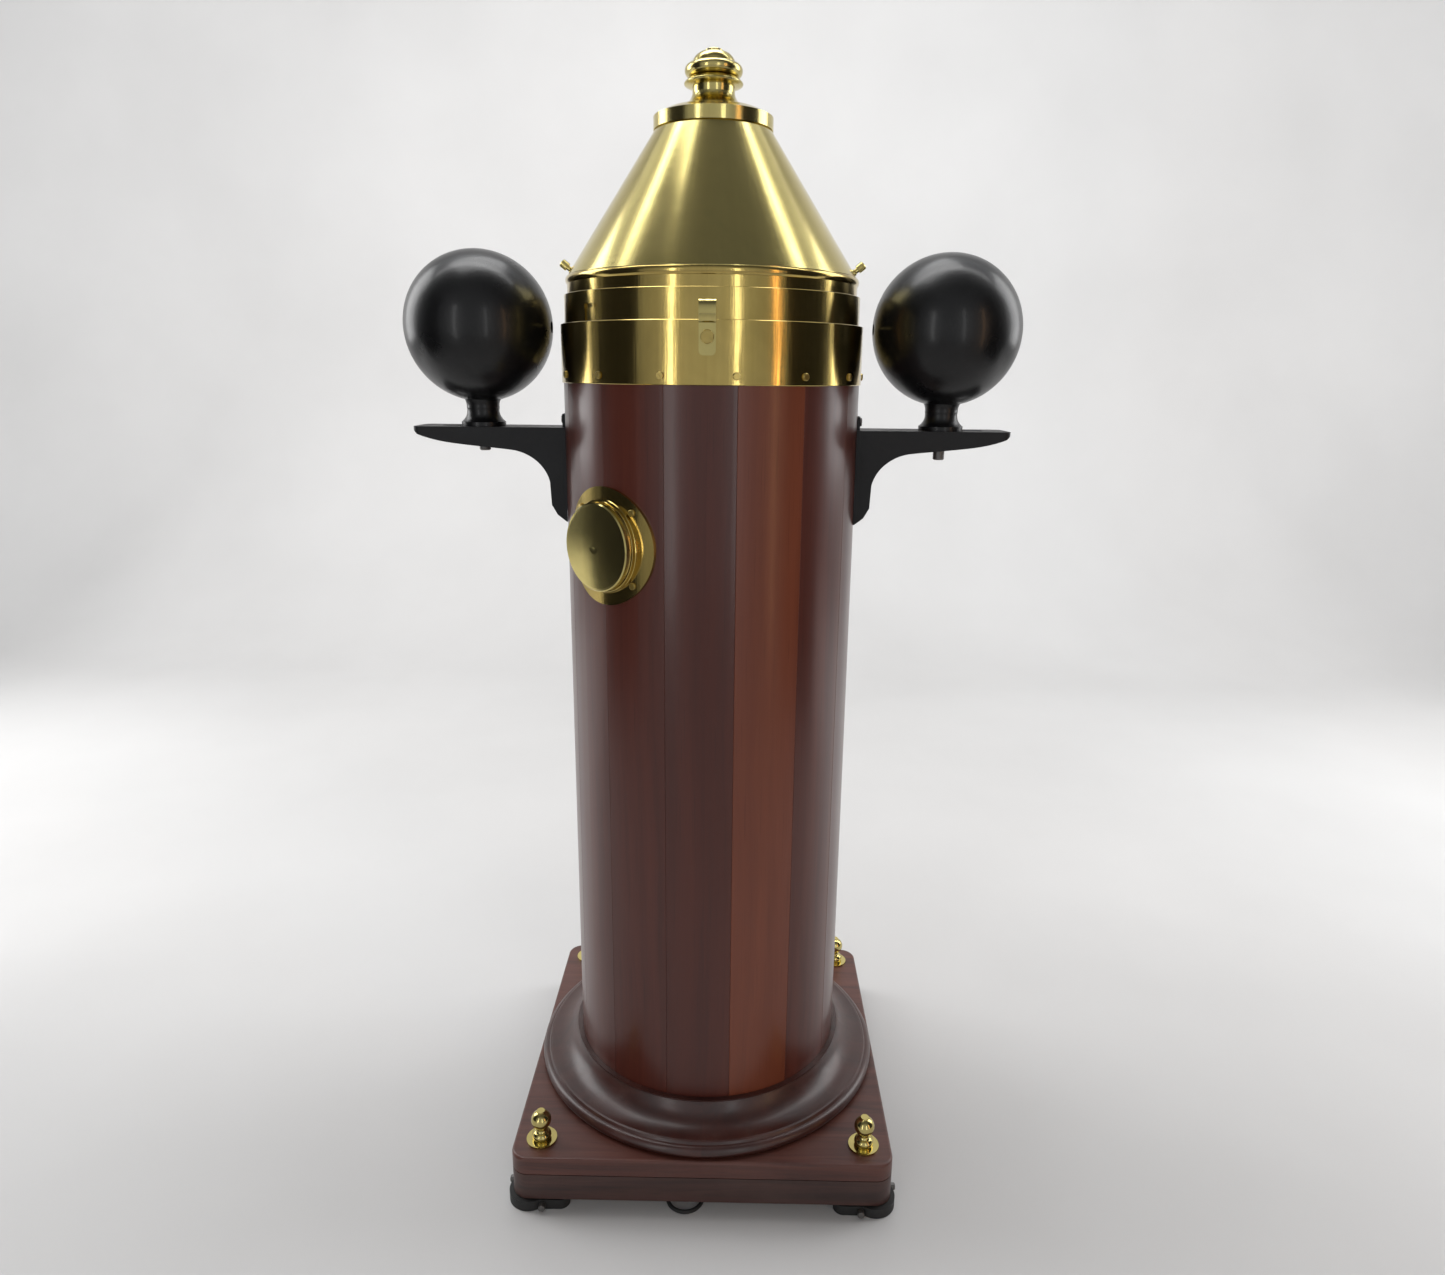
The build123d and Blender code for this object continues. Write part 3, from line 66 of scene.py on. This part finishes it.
class Graph:
    """The node graph of one material."""

    def __init__(self, name):
        self.material = bpy.data.materials.new(name)
        self.material.use_nodes = True
        self.tree = self.material.node_tree
        self.tree.nodes.clear()
        self.output = self.tree.nodes.new("ShaderNodeOutputMaterial")
        coordinates = self.tree.nodes.new("ShaderNodeTexCoord")
        self.place = coordinates.outputs["Object"]

    def node(self, kind, inputs=None, **settings):
        """Add a shader node, set its properties and feed its inputs."""
        item = self.tree.nodes.new("ShaderNode" + kind)
        for key, value in settings.items():
            setattr(item, key, value)
        for key, value in (inputs or {}).items():
            self.feed(item.inputs[key], value)
        return item

    def feed(self, socket, value):
        """Link an output to a socket, or set the socket to a plain value."""
        if isinstance(value, bpy.types.NodeSocket):
            self.tree.links.new(value, socket)
        else:
            socket.default_value = value

    def stretched(self, scale, turn=(0, 0, 0), place=None):
        """Object coordinates scaled per axis."""
        mapping = self.node("Mapping", {"Vector": place or self.place, "Scale": scale,
                                        "Rotation": turn})
        return mapping.outputs["Vector"]

    def noise(self, scale, detail=4.0, rough=0.55, vector=None, distortion=0.0):
        """Noise value over object coordinates, or over the vector given."""
        item = self.node("TexNoise", {"Vector": vector or self.place, "Scale": scale,
                                      "Detail": detail, "Roughness": rough,
                                      "Distortion": distortion})
        return item.outputs["Fac"]

    def ramp(self, factor, stops):
        """Colour ramp from (position, colour) stops; grey values may be plain numbers."""
        item = self.node("ValToRGB", {"Fac": factor})
        marks = item.color_ramp.elements
        while len(marks) < len(stops):
            marks.new(0.5)
        for mark, (position, colour) in zip(marks, stops):
            mark.position = position
            if isinstance(colour, (int, float)):
                colour = (colour, colour, colour)
            mark.color = (*colour, 1.0)
        return item.outputs["Color"]

    def math(self, operation, first, second=0.0, clamp=False):
        """One sum on two values."""
        item = self.node("Math", operation=operation, use_clamp=clamp)
        self.feed(item.inputs[0], first)
        self.feed(item.inputs[1], second)
        return item.outputs["Value"]

    def mix(self, factor, first, second, blend="MIX"):
        """Blend two colours."""
        item = self.node("Mix", data_type="RGBA", blend_type=blend)
        self.feed(item.inputs[0], factor)
        for index, value in zip(MIX_COLOUR_INPUTS, (first, second)):
            if isinstance(value, tuple):
                value = (*value, 1.0)
            self.feed(item.inputs[index], value)
        return item.outputs[MIX_COLOUR_OUTPUT]

    def bump(self, height, strength, distance, below=None):
        """Normal bent by a height, over another bump if one is given."""
        inputs = {"Height": height, "Strength": strength, "Distance": distance}
        if below is not None:
            inputs["Normal"] = below
        return self.node("Bump", inputs).outputs["Normal"]

    def azimuth(self):
        """Angle round the column from the front, as a 0 to 1 turn, and the height."""
        parts = self.node("SeparateXYZ", {"Vector": self.place})
        behind = self.math("MULTIPLY", parts.outputs["Y"], -1.0)
        angle = self.math("ARCTAN2", parts.outputs["X"], behind)
        turn = self.math("DIVIDE", angle, 2 * math.pi)
        return self.math("FRACT", self.math("ADD", turn, 1.0)), parts.outputs["Z"]

    def around(self, across, along):
        """Coordinates wrapped round the upright axis, so streaks run up and down."""
        turn, height = self.azimuth()
        joined = self.node("CombineXYZ", {"X": self.math("MULTIPLY", turn, across),
                                          "Y": 0.0,
                                          "Z": self.math("MULTIPLY", height, along)})
        return joined.outputs["Vector"]

    def finish(self, **inputs):
        """A principled surface fed with the given inputs."""
        shader = self.node("BsdfPrincipled")
        for key, value in inputs.items():
            if isinstance(value, tuple):
                value = (*value, 1.0)
            self.feed(shader.inputs[key.replace("_", " ")], value)
        self.feed(self.output.inputs["Surface"], shader.outputs["BSDF"])
        return self.material


# ---------------------------------------------------------------- materials
def brass(name, colour, rough, reflection_and_relief_strength=0.5, tarnish=0.35, scratch=0.15):
    """Polished brass: vertical streaks that bump the surface and darken its colour as painted
    reflection streaks, darker tarnish patches, fine scratches.
    """
    g = Graph(name)
    relief_and_reflection_streak = g.noise(1.0, 5.0, 0.65, vector=g.around(60.0, 2.2))
    patches = g.noise(9.0, 6.0, 0.62, distortion=0.6)
    fine = g.noise(700.0, 2.0, 0.5, vector=g.stretched((1.0, 1.0, 0.06), turn=(0.3, 0.2, 0.0)))
    dark = tuple(part * (1.0 - tarnish) for part in colour)
    base = g.mix(g.ramp(patches, ((0.38, 0.0), (0.72, 1.0))), colour, dark)
    # painted reflection: vertical streaks round the upright axis darken the brass colour; the same
    # streaks also bend the normal as surface relief
    painted_reflection_tint = g.ramp(relief_and_reflection_streak, ((0.3, (0.86, 0.84, 0.80)), (0.7, (1.0, 1.0, 1.0))))
    base = g.mix(reflection_and_relief_strength, base, g.mix(1.0, base, painted_reflection_tint, "MULTIPLY"))
    spots = g.ramp(g.noise(75.0, 3.0, 0.7), ((0.70, 1.0), (0.78, (0.55, 0.42, 0.32))))
    base = g.mix(0.6, base, g.mix(1.0, base, spots, "MULTIPLY"))
    roughness = g.math("ADD", g.math("MULTIPLY", patches, 0.14), rough - 0.05)
    roughness = g.math("ADD", roughness, g.math("MULTIPLY", fine, 0.05), clamp=True)
    normal = g.bump(relief_and_reflection_streak, 0.10 * reflection_and_relief_strength, 0.002)
    normal = g.bump(g.noise(26.0, 2.0, 0.4), 0.10, 0.0012, normal)
    normal = g.bump(fine, scratch, 0.00012, normal)
    return g.finish(Base_Color=base, Metallic=1.0, Roughness=roughness, Normal=normal)


def wood_figure(g, across=46.0, along=1.6):
    """Long wood grain round the column, and the pores in it."""
    warp = g.noise(3.0, 3.0, 0.5)
    lanes = g.node("VectorMath", operation="ADD")
    g.feed(lanes.inputs[0], g.around(across, along))
    g.feed(lanes.inputs[1], g.node("CombineXYZ", {"X": warp}).outputs["Vector"])
    grain = g.noise(1.0, 7.0, 0.62, vector=lanes.outputs["Vector"], distortion=0.35)
    pores = g.noise(1.0, 2.0, 0.5, vector=g.around(900.0, 9.0))
    return grain, pores


def staves_wood():
    """Dark lacquered mahogany; every stave has its own tone and one is lighter and redder."""
    g = Graph("lacquered_mahogany_staves")
    grain, pores = wood_figure(g)
    turn = g.azimuth()[0]
    lane = g.math("SUBTRACT", turn, SEAM_AZIMUTH / (2 * math.pi))
    number = g.math("FLOOR", g.math("MULTIPLY", g.math("FRACT", g.math("ADD", lane, 1.0)),
                                    float(STAVE_COUNT)))
    tone = g.node("TexWhiteNoise", {"W": number}, noise_dimensions="1D").outputs["Value"]
    base = g.ramp(grain, ((0.25, (0.058, 0.0135, 0.0085)), (0.5, (0.088, 0.0200, 0.0120)),
                          (0.75, (0.115, 0.0270, 0.0155))))
    base = g.mix(g.math("MULTIPLY", tone, 0.45), base, (0.058, 0.0135, 0.0090))
    light = g.math("COMPARE", number, 0.0)
    base = g.mix(g.math("MULTIPLY", light, 0.8), base,
                 g.ramp(grain, ((0.3, (0.160, 0.0390, 0.0170)), (0.7, (0.215, 0.0560, 0.0240)))))
    base = g.mix(g.ramp(pores, ((0.60, 0.0), (0.72, 0.30))), base, (0.016, 0.005, 0.004))
    wear = g.noise(6.0, 3.0, 0.5)
    roughness = g.ramp(wear, ((0.3, 0.27), (0.7, 0.33)))
    normal = g.bump(grain, 0.025, 0.0004)
    normal = g.bump(pores, 0.012, 0.0001, normal)
    return g.finish(Base_Color=base, Roughness=roughness, Normal=normal, Coat_Weight=0.30,
                    Coat_Roughness=0.18, Specular_IOR_Level=0.35)


def board_wood(name, low, mid, high, rough, scale=(3.0, 60.0, 60.0)):
    """Flat-sawn boards with long grain along one axis, worn at random."""
    g = Graph(name)
    place = g.stretched(scale)
    grain = g.noise(1.0, 7.0, 0.6, vector=place, distortion=1.2)
    pores = g.noise(9.0, 3.0, 0.6, vector=place)
    base = g.ramp(grain, ((0.28, low), (0.5, mid), (0.76, high)))
    base = g.mix(g.ramp(pores, ((0.62, 0.0), (0.75, 0.5))), base, tuple(v * 0.35 for v in low))
    wear = g.noise(11.0, 6.0, 0.7)
    dust = g.ramp(wear, ((0.50, 0.0), (0.82, 0.22)))
    base = g.mix(dust, base, (0.15, 0.10, 0.085))
    roughness = g.ramp(wear, ((0.3, rough), (0.7, rough + 0.18)))
    normal = g.bump(grain, 0.15, 0.0008)
    normal = g.bump(pores, 0.12, 0.0003, normal)
    return g.finish(Base_Color=base, Roughness=roughness, Normal=normal, Coat_Weight=0.2,
                    Coat_Roughness=0.3)


def turned_wood():
    """The dark turned moulding: grain bends round the ring, edges catch more light."""
    g = Graph("dark_turned_moulding")
    grain = g.noise(1.0, 6.0, 0.6, vector=g.around(24.0, 60.0), distortion=0.8)
    base = g.ramp(grain, ((0.3, (0.028, 0.0075, 0.0055)), (0.7, (0.062, 0.0165, 0.0110))))
    wear = g.noise(22.0, 5.0, 0.7)
    base = g.mix(g.ramp(wear, ((0.55, 0.0), (0.85, 0.3))), base, (0.12, 0.08, 0.065))
    roughness = g.ramp(wear, ((0.3, 0.30), (0.75, 0.46)))
    return g.finish(Base_Color=base, Roughness=roughness, Normal=g.bump(grain, 0.12, 0.0007),
                    Coat_Weight=0.3, Coat_Roughness=0.22)


def enamel():
    """Black stoved enamel with orange peel and faint dust."""
    g = Graph("black_enamel_orange_peel")
    peel = g.noise(260.0, 2.0, 0.5)
    broad = g.noise(18.0, 3.0, 0.5)
    dust = g.noise(90.0, 6.0, 0.75)
    base = g.mix(g.ramp(dust, ((0.55, 0.0), (0.85, 0.25))), (0.0045, 0.0045, 0.005),
                 (0.035, 0.034, 0.034))
    roughness = g.ramp(broad, ((0.3, 0.26), (0.7, 0.36)))
    normal = g.bump(peel, 0.14, 0.0006)
    normal = g.bump(broad, 0.12, 0.0015, normal)
    return g.finish(Base_Color=base, Roughness=roughness, Normal=normal, Coat_Weight=0.15,
                    Coat_Roughness=0.14, Specular_IOR_Level=0.32)


def painted_iron():
    """Black paint over a sand casting: pitted, satin, rubbed paler in places."""
    g = Graph("black_painted_casting")
    sand = g.noise(420.0, 4.0, 0.65)
    lumps = g.noise(60.0, 3.0, 0.5)
    worn = g.noise(26.0, 6.0, 0.7)
    base = g.mix(g.ramp(worn, ((0.5, 0.0), (0.8, 0.5))), (0.006, 0.006, 0.007),
                 (0.022, 0.021, 0.021))
    roughness = g.ramp(worn, ((0.3, 0.38), (0.7, 0.55)))
    normal = g.bump(sand, 0.35, 0.0004)
    normal = g.bump(lumps, 0.2, 0.0010, normal)
    return g.finish(Base_Color=base, Roughness=roughness, Normal=normal, Specular_IOR_Level=0.3)


def dull_steel():
    """Dark oiled steel with brushing and a little rust."""
    g = Graph("dull_steel")
    brushing = g.noise(260.0, 3.0, 0.6, vector=g.stretched((1.0, 1.0, 0.1)))
    rust = g.noise(120.0, 5.0, 0.7)
    base = g.mix(g.ramp(rust, ((0.52, 0.0), (0.75, 0.6))), (0.16, 0.155, 0.15), (0.09, 0.04, 0.02))
    roughness = g.ramp(rust, ((0.3, 0.32), (0.7, 0.62)))
    return g.finish(Base_Color=base, Metallic=0.9, Roughness=roughness,
                    Normal=g.bump(brushing, 0.2, 0.0003))


def black_rubber():
    """Matt rubber with grit and grey scuffs."""
    g = Graph("black_rubber")
    grit = g.noise(500.0, 4.0, 0.7)
    scuff = g.noise(40.0, 6.0, 0.7)
    base = g.mix(g.ramp(scuff, ((0.5, 0.0), (0.8, 0.6))), (0.011, 0.011, 0.011),
                 (0.045, 0.042, 0.040))
    return g.finish(Base_Color=base, Roughness=g.ramp(scuff, ((0.3, 0.5), (0.7, 0.75))),
                    Normal=g.bump(grit, 0.3, 0.0003))


def clear_glass():
    """Clear glass, faintly smeared."""
    g = Graph("clear_glass")
    smear = g.noise(30.0, 5.0, 0.7)
    return g.finish(Base_Color=g.ramp(smear, ((0.3, (0.90, 0.95, 0.94)), (0.8, (0.98, 1.0, 0.99)))),
                    Roughness=g.ramp(smear, ((0.4, 0.01), (0.8, 0.08))),
                    Transmission_Weight=1.0, IOR=1.46, Normal=g.bump(smear, 0.03, 0.0005))


def card_paper():
    """Aged cream card with a paper fibre."""
    g = Graph("card_paper")
    fibre = g.noise(400.0, 5.0, 0.7)
    age = g.noise(25.0, 4.0, 0.6)
    base = g.ramp(age, ((0.3, (0.62, 0.57, 0.43)), (0.7, (0.78, 0.74, 0.62))))
    return g.finish(Base_Color=base, Roughness=g.ramp(fibre, ((0.3, 0.6), (0.7, 0.8))),
                    Normal=g.bump(fibre, 0.2, 0.0002))


def card_ink():
    """Slightly worn black ink."""
    g = Graph("card_ink")
    wear = g.noise(300.0, 4.0, 0.7)
    base = g.ramp(wear, ((0.3, (0.008, 0.008, 0.010)), (0.8, (0.035, 0.034, 0.034))))
    return g.finish(Base_Color=base, Roughness=g.ramp(wear, ((0.3, 0.4), (0.7, 0.6))),
                    Normal=g.bump(wear, 0.1, 0.0001))


def magnet_paint():
    """Enamelled bar magnets, red at one end and blue at the other."""
    g = Graph("magnet_enamel")
    parts = g.node("SeparateXYZ", {"Vector": g.place})
    side = g.math("GREATER_THAN", g.math("ADD", parts.outputs["X"], parts.outputs["Y"]), 0.0)
    chips = g.noise(150.0, 5.0, 0.7)
    base = g.mix(side, (0.02, 0.035, 0.22), (0.33, 0.018, 0.014))
    base = g.mix(g.ramp(chips, ((0.66, 0.0), (0.70, 1.0))), base, (0.14, 0.13, 0.12))
    return g.finish(Base_Color=base, Roughness=g.ramp(chips, ((0.3, 0.25), (0.7, 0.45))),
                    Normal=g.bump(chips, 0.15, 0.0003))


def bakelite():
    """Brown moulded bakelite with swirls."""
    g = Graph("brown_bakelite")
    swirl = g.noise(45.0, 5.0, 0.6, distortion=1.5)
    base = g.ramp(swirl, ((0.3, (0.016, 0.007, 0.004)), (0.7, (0.06, 0.024, 0.012))))
    return g.finish(Base_Color=base, Roughness=g.ramp(swirl, ((0.3, 0.18), (0.7, 0.32))),
                    Normal=g.bump(swirl, 0.05, 0.0004))


BRASS = (0.66, 0.555, 0.215)
BRASS_DARK = (0.60, 0.455, 0.150)
LOOKS = {
    brass("spun_brass_cone", BRASS, 0.13, reflection_and_relief_strength=0.7, tarnish=0.22, scratch=0.08):
        ("hood_cone", "hood_cap", "vent_cowl", "vent_finial"),
    brass("rolled_brass_bands", BRASS_DARK, 0.09, reflection_and_relief_strength=1.0, tarnish=0.25, scratch=0.12):
        ("top_band", "hood_skirt", "hood_rim_band", "port_flange", "bayonet_collar",
         "window_frame", "window_cover"),
    brass("turned_brass", BRASS, 0.10, reflection_and_relief_strength=0.3, tarnish=0.25, scratch=0.1):
        ("corner_knobs", "corner_washers", "front_catch", "port_cap", "door_knob",
         "thumb_knob_left", "thumb_knob_right", "gimbal_ring", "compass_bowl", "bowl_bezel",
         "hinge_leaves_column", "hinge_leaves_door", "gimbal_supports"),
    brass("old_brass_fittings", BRASS_DARK, 0.26, reflection_and_relief_strength=0.2, tarnish=0.5, scratch=0.3):
        ("band_screws", "port_screws", "catch_screw", "guide_rods", "heeling_tube",
         "heeling_bucket", "bowl_fittings", "card_cap"),
    staves_wood(): ("column_staves", "access_door"),
    board_wood("red_base_board", (0.048, 0.0135, 0.0090), (0.090, 0.0255, 0.0165),
               (0.130, 0.0400, 0.0260), 0.36): ("base_top_board",),
    board_wood("dark_base_plinth", (0.024, 0.0090, 0.0070), (0.048, 0.0175, 0.0130),
               (0.078, 0.0320, 0.0230), 0.42): ("base_plinth",),
    turned_wood(): ("base_moulding",),
    board_wood("bare_inner_wood", (0.14, 0.075, 0.035), (0.25, 0.14, 0.07), (0.36, 0.22, 0.12),
               0.5, scale=(5.0, 70.0, 70.0)):
        ("shelves_and_hoops", "athwart_tray", "fore_aft_tray"),
    enamel(): ("corrector_sphere_left", "corrector_sphere_right", "sphere_pedestal_left",
               "sphere_pedestal_right"),
    painted_iron(): ("bracket_left", "bracket_right"),
    dull_steel(): ("bracket_screws", "foot_pins", "sphere_bolt_left", "sphere_bolt_right"),
    black_rubber(): ("corner_feet", "lamp_cable"),
    clear_glass(): ("window_glass", "bowl_glasses", "lamp_bulb"),
    card_paper(): ("compass_card",),
    magnet_paint(): ("athwart_magnets", "fore_aft_magnets", "card_magnets"),
    bakelite(): ("lamp_holder",),
}
for material, names in LOOKS.items():
    for name in names:
        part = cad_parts[name]
        part.data.materials.clear()
        part.data.materials.append(material)


# ---------------------------------------------------------------- compass card markings
def mesh_object(name, bm, material, smooth=False):
    """Turn a bmesh into an object in the scene."""
    mesh = bpy.data.meshes.new(name)
    bm.to_mesh(mesh)
    bm.free()
    for face in mesh.polygons:
        face.use_smooth = smooth
    thing = bpy.data.objects.new(name, mesh)
    bpy.context.scene.collection.objects.link(thing)
    mesh.materials.append(material)
    return thing


MARK_BASE = COMPASS.z + 0.0005             # underside of the marks, above the card's middle
MARK_T = 0.0004
TICK_COUNT = 72
TICK_OUTER = 0.97                          # radii and reaches as shares of the card's radius
TICK_INNERS = (0.90, 0.935)                # long and short ticks by turns
STAR_ROOT = 0.16
STAR_REACHES = ((4, 0.80, 26), (8, 0.66, 16), (16, 0.52, 16))    # points, reach, spread


def flat_point(bm, angle, tip_r, root_r, spread):
    """A thin triangle with its tip and one root corner at an angle round the card."""
    def at(radius, turn):
        return Vector((COMPASS.x + radius * math.sin(turn), COMPASS.y - radius * math.cos(turn),
                       MARK_BASE))

    corners = [at(tip_r, angle), at(root_r, angle), at(root_r, angle + spread)]
    low = [bm.verts.new(corner) for corner in corners]
    high = [bm.verts.new(corner + Vector((0, 0, MARK_T))) for corner in corners]
    bm.faces.new(low[::-1])
    bm.faces.new(high)
    for index in range(3):
        after = (index + 1) % 3
        bm.faces.new((low[index], low[after], high[after], high[index]))


def card_markings():
    """Star of half points and degree ticks on the compass card."""
    bm = bmesh.new()
    for rank, reach, spread in STAR_REACHES:
        for index in range(rank):
            flat_point(bm, 2 * math.pi * index / rank, CARD_R * reach, CARD_R * STAR_ROOT,
                       math.radians(spread))
    for index in range(TICK_COUNT):
        angle = 2 * math.pi * index / TICK_COUNT
        flat_point(bm, angle, CARD_R * TICK_INNERS[index % 2], CARD_R * TICK_OUTER,
                   math.radians(0.9))
    bmesh.ops.recalc_face_normals(bm, faces=bm.faces)
    marks = mesh_object("card_points", bm, card_ink())
    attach(marks, "card")


card_markings()


# ---------------------------------------------------------------- stage, light and camera
def studio_surface(name, low, high):
    """Matt paper, slightly cloudy."""
    g = Graph(name)
    cloud = g.noise(1.3, 4.0, 0.5)
    grit = g.noise(220.0, 4.0, 0.6)
    base = g.ramp(cloud, ((0.3, low), (0.7, high)))
    return g.finish(Base_Color=base, Roughness=g.ramp(grit, ((0.3, 0.55), (0.7, 0.7))),
                    Normal=g.bump(grit, 0.05, 0.0004))


FLOOR_FRONT = -4.0
BEND_START = 2.0
BEND_R = 1.0
BEND_STEPS = 12
BACKDROP_TOP = 5.0
FLOOR_COLUMNS = (-6.0, -2.0, 2.0, 6.0)
FLOOR_DROP = 0.0002                        # keeps the floor just under the object


def strip_faces(bm, rows):
    """Faces between neighbouring rows of vertices."""
    for first, second in zip(rows, rows[1:]):
        for index in range(len(first) - 1):
            bm.faces.new((first[index], first[index + 1], second[index + 1], second[index]))


def sweep_floor():
    """A floor that curves up into the backdrop."""
    bm = bmesh.new()
    profile = [(FLOOR_FRONT, 0.0), (BEND_START, 0.0)]
    for step in range(1, BEND_STEPS + 1):
        angle = math.radians(90 * step / BEND_STEPS)
        profile.append((BEND_START + BEND_R * math.sin(angle), BEND_R - BEND_R * math.cos(angle)))
    profile.append((BEND_START + BEND_R, BACKDROP_TOP))
    rows = []
    for y, z in profile:
        rows.append([bm.verts.new((x, y, z - FLOOR_DROP)) for x in FLOOR_COLUMNS])
    strip_faces(bm, rows)
    floor = mesh_object("studio_floor", bm, studio_surface("studio_paper", (0.575, 0.57, 0.565),
                                                           (0.625, 0.62, 0.615)), smooth=True)


sweep_floor()


def area_light(name, spot, aim, size, power, colour=(1, 1, 1)):
    """A softbox at a place, turned towards a point."""
    data = bpy.data.lights.new(name, "AREA")
    data.shape = "RECTANGLE"
    data.size, data.size_y = size
    data.energy = power
    data.color = colour
    lamp = bpy.data.objects.new(name, data)
    lamp.location = spot
    lamp.rotation_euler = (Vector(aim) - Vector(spot)).to_track_quat("-Z", "Y").to_euler()
    bpy.context.scene.collection.objects.link(lamp)


MIDDLE = (0.0, 0.0, 0.75)
area_light("left_softbox", (-2.5, 0.9, 1.8), MIDDLE, (1.2, 2.4), 34)
area_light("right_softbox", (2.5, 0.9, 1.8), MIDDLE, (1.2, 2.4), 30)
area_light("top_softbox", (-0.3, 0.6, 3.5), MIDDLE, (2.2, 1.4), 34)
area_light("backdrop_wash", (0.0, 0.4, 3.6), (0.0, 3.0, 1.6), (5.0, 0.8), 55)
for side in (-1, 1):
    area_light(f"side_wash_{side}", (3.6 * side, -0.6, 1.6), (2.6 * side, 3.0, 0.9),
               (1.2, 2.2), 60)
area_light("left_strip", (-1.5, -2.9, 1.3), MIDDLE, (0.22, 2.6), 9)
area_light("right_strip", (1.1, -3.1, 1.3), MIDDLE, (0.16, 2.6), 6)
area_light("warm_strip", (2.3, -2.0, 1.2), MIDDLE, (0.14, 2.4), 5, (1.0, 0.55, 0.25))


FOLD_STEPS = 24
FOLD_DEPTH = 0.03
FOLD_WAVES = 7
CLOTH_HEIGHTS = (0.0, 1.3, 2.6)


def dark_cloth():
    """Black woven cloth."""
    g = Graph("dark_cloth")
    weave = g.noise(300.0, 4.0, 0.6)
    base = g.ramp(weave, ((0.3, (0.010, 0.010, 0.011)), (0.7, (0.022, 0.022, 0.024))))
    return g.finish(Base_Color=base, Roughness=g.ramp(weave, ((0.3, 0.8), (0.7, 0.95))),
                    Normal=g.bump(weave, 0.3, 0.001))


def dark_flag(name, x, near_y, far_y, material):
    """A cloth beside the set, out of view, that gives the brass its dark bands."""
    bm = bmesh.new()
    rows = []
    for step in range(FOLD_STEPS + 1):
        share = step / FOLD_STEPS
        y = near_y + (far_y - near_y) * share
        ripple = FOLD_DEPTH * math.sin(2 * math.pi * FOLD_WAVES * share)
        rows.append([bm.verts.new((x + ripple, y, z)) for z in CLOTH_HEIGHTS])
    strip_faces(bm, rows)
    mesh_object(name, bm, material, smooth=True)


cloth = dark_cloth()
dark_flag("left_flag", -2.0, -1.5, -0.1, cloth)
dark_flag("right_flag", 2.0, -1.3, 0.0, cloth)

ROOM_GREYS = ((0.0, 0.55), (0.14, 0.42), (0.30, 0.13), (0.56, 0.14), (0.72, 1.0))   # front to back


def room_light():
    """A dim room: grey in front of the object, dark to the sides and bright behind."""
    world = bpy.data.worlds.new("studio_world")
    world.use_nodes = True
    bpy.context.scene.world = world
    tree = world.node_tree
    sky = tree.nodes["Background"]
    look = tree.nodes.new("ShaderNodeTexCoord")
    parts = tree.nodes.new("ShaderNodeSeparateXYZ")
    tree.links.new(look.outputs["Generated"], parts.inputs["Vector"])
    shade = tree.nodes.new("ShaderNodeMapRange")
    tree.links.new(parts.outputs["Y"], shade.inputs["Value"])
    shade.inputs["From Min"].default_value = -1.0
    ramp = tree.nodes.new("ShaderNodeValToRGB")
    tree.links.new(shade.outputs["Result"], ramp.inputs["Fac"])
    marks = ramp.color_ramp.elements
    while len(marks) < len(ROOM_GREYS):
        marks.new(0.5)
    for mark, (position, grey) in zip(marks, ROOM_GREYS):
        mark.position = position
        mark.color = (grey * 0.95, grey * 0.97, grey, 1.0)
    tree.links.new(ramp.outputs["Color"], sky.inputs["Color"])
    sky.inputs["Strength"].default_value = 1.0


room_light()
bpy.context.scene.view_settings.view_transform = "Standard"

# the viewpoint: from the front, at about the height of the compass, looking down
CAMERA_SPOT = (0.0344, -1.2603, 1.0213)
PITCH, ROLL, YAW = math.radians(14.94), math.radians(0.57), math.radians(-0.82)
LENS = 24.70                               # millimetres, on a sensor 36 mm wide
forward = Vector((math.sin(YAW) * math.cos(PITCH), math.cos(YAW) * math.cos(PITCH),
                  -math.sin(PITCH)))
right = Vector((math.cos(YAW), -math.sin(YAW), 0.0))
up = right.cross(forward)
level = math.cos(ROLL) * right + math.sin(ROLL) * up
upright = -math.sin(ROLL) * right + math.cos(ROLL) * up
camera_data = bpy.data.cameras.new("camera")
camera_data.sensor_width = 36.0
camera_data.lens = LENS
camera = bpy.data.objects.new("camera", camera_data)
camera.matrix_world = (Matrix.Translation(CAMERA_SPOT)
                       @ Matrix((level, upright, -forward)).transposed().to_4x4())
bpy.context.scene.collection.objects.link(camera)
bpy.context.scene.camera = camera
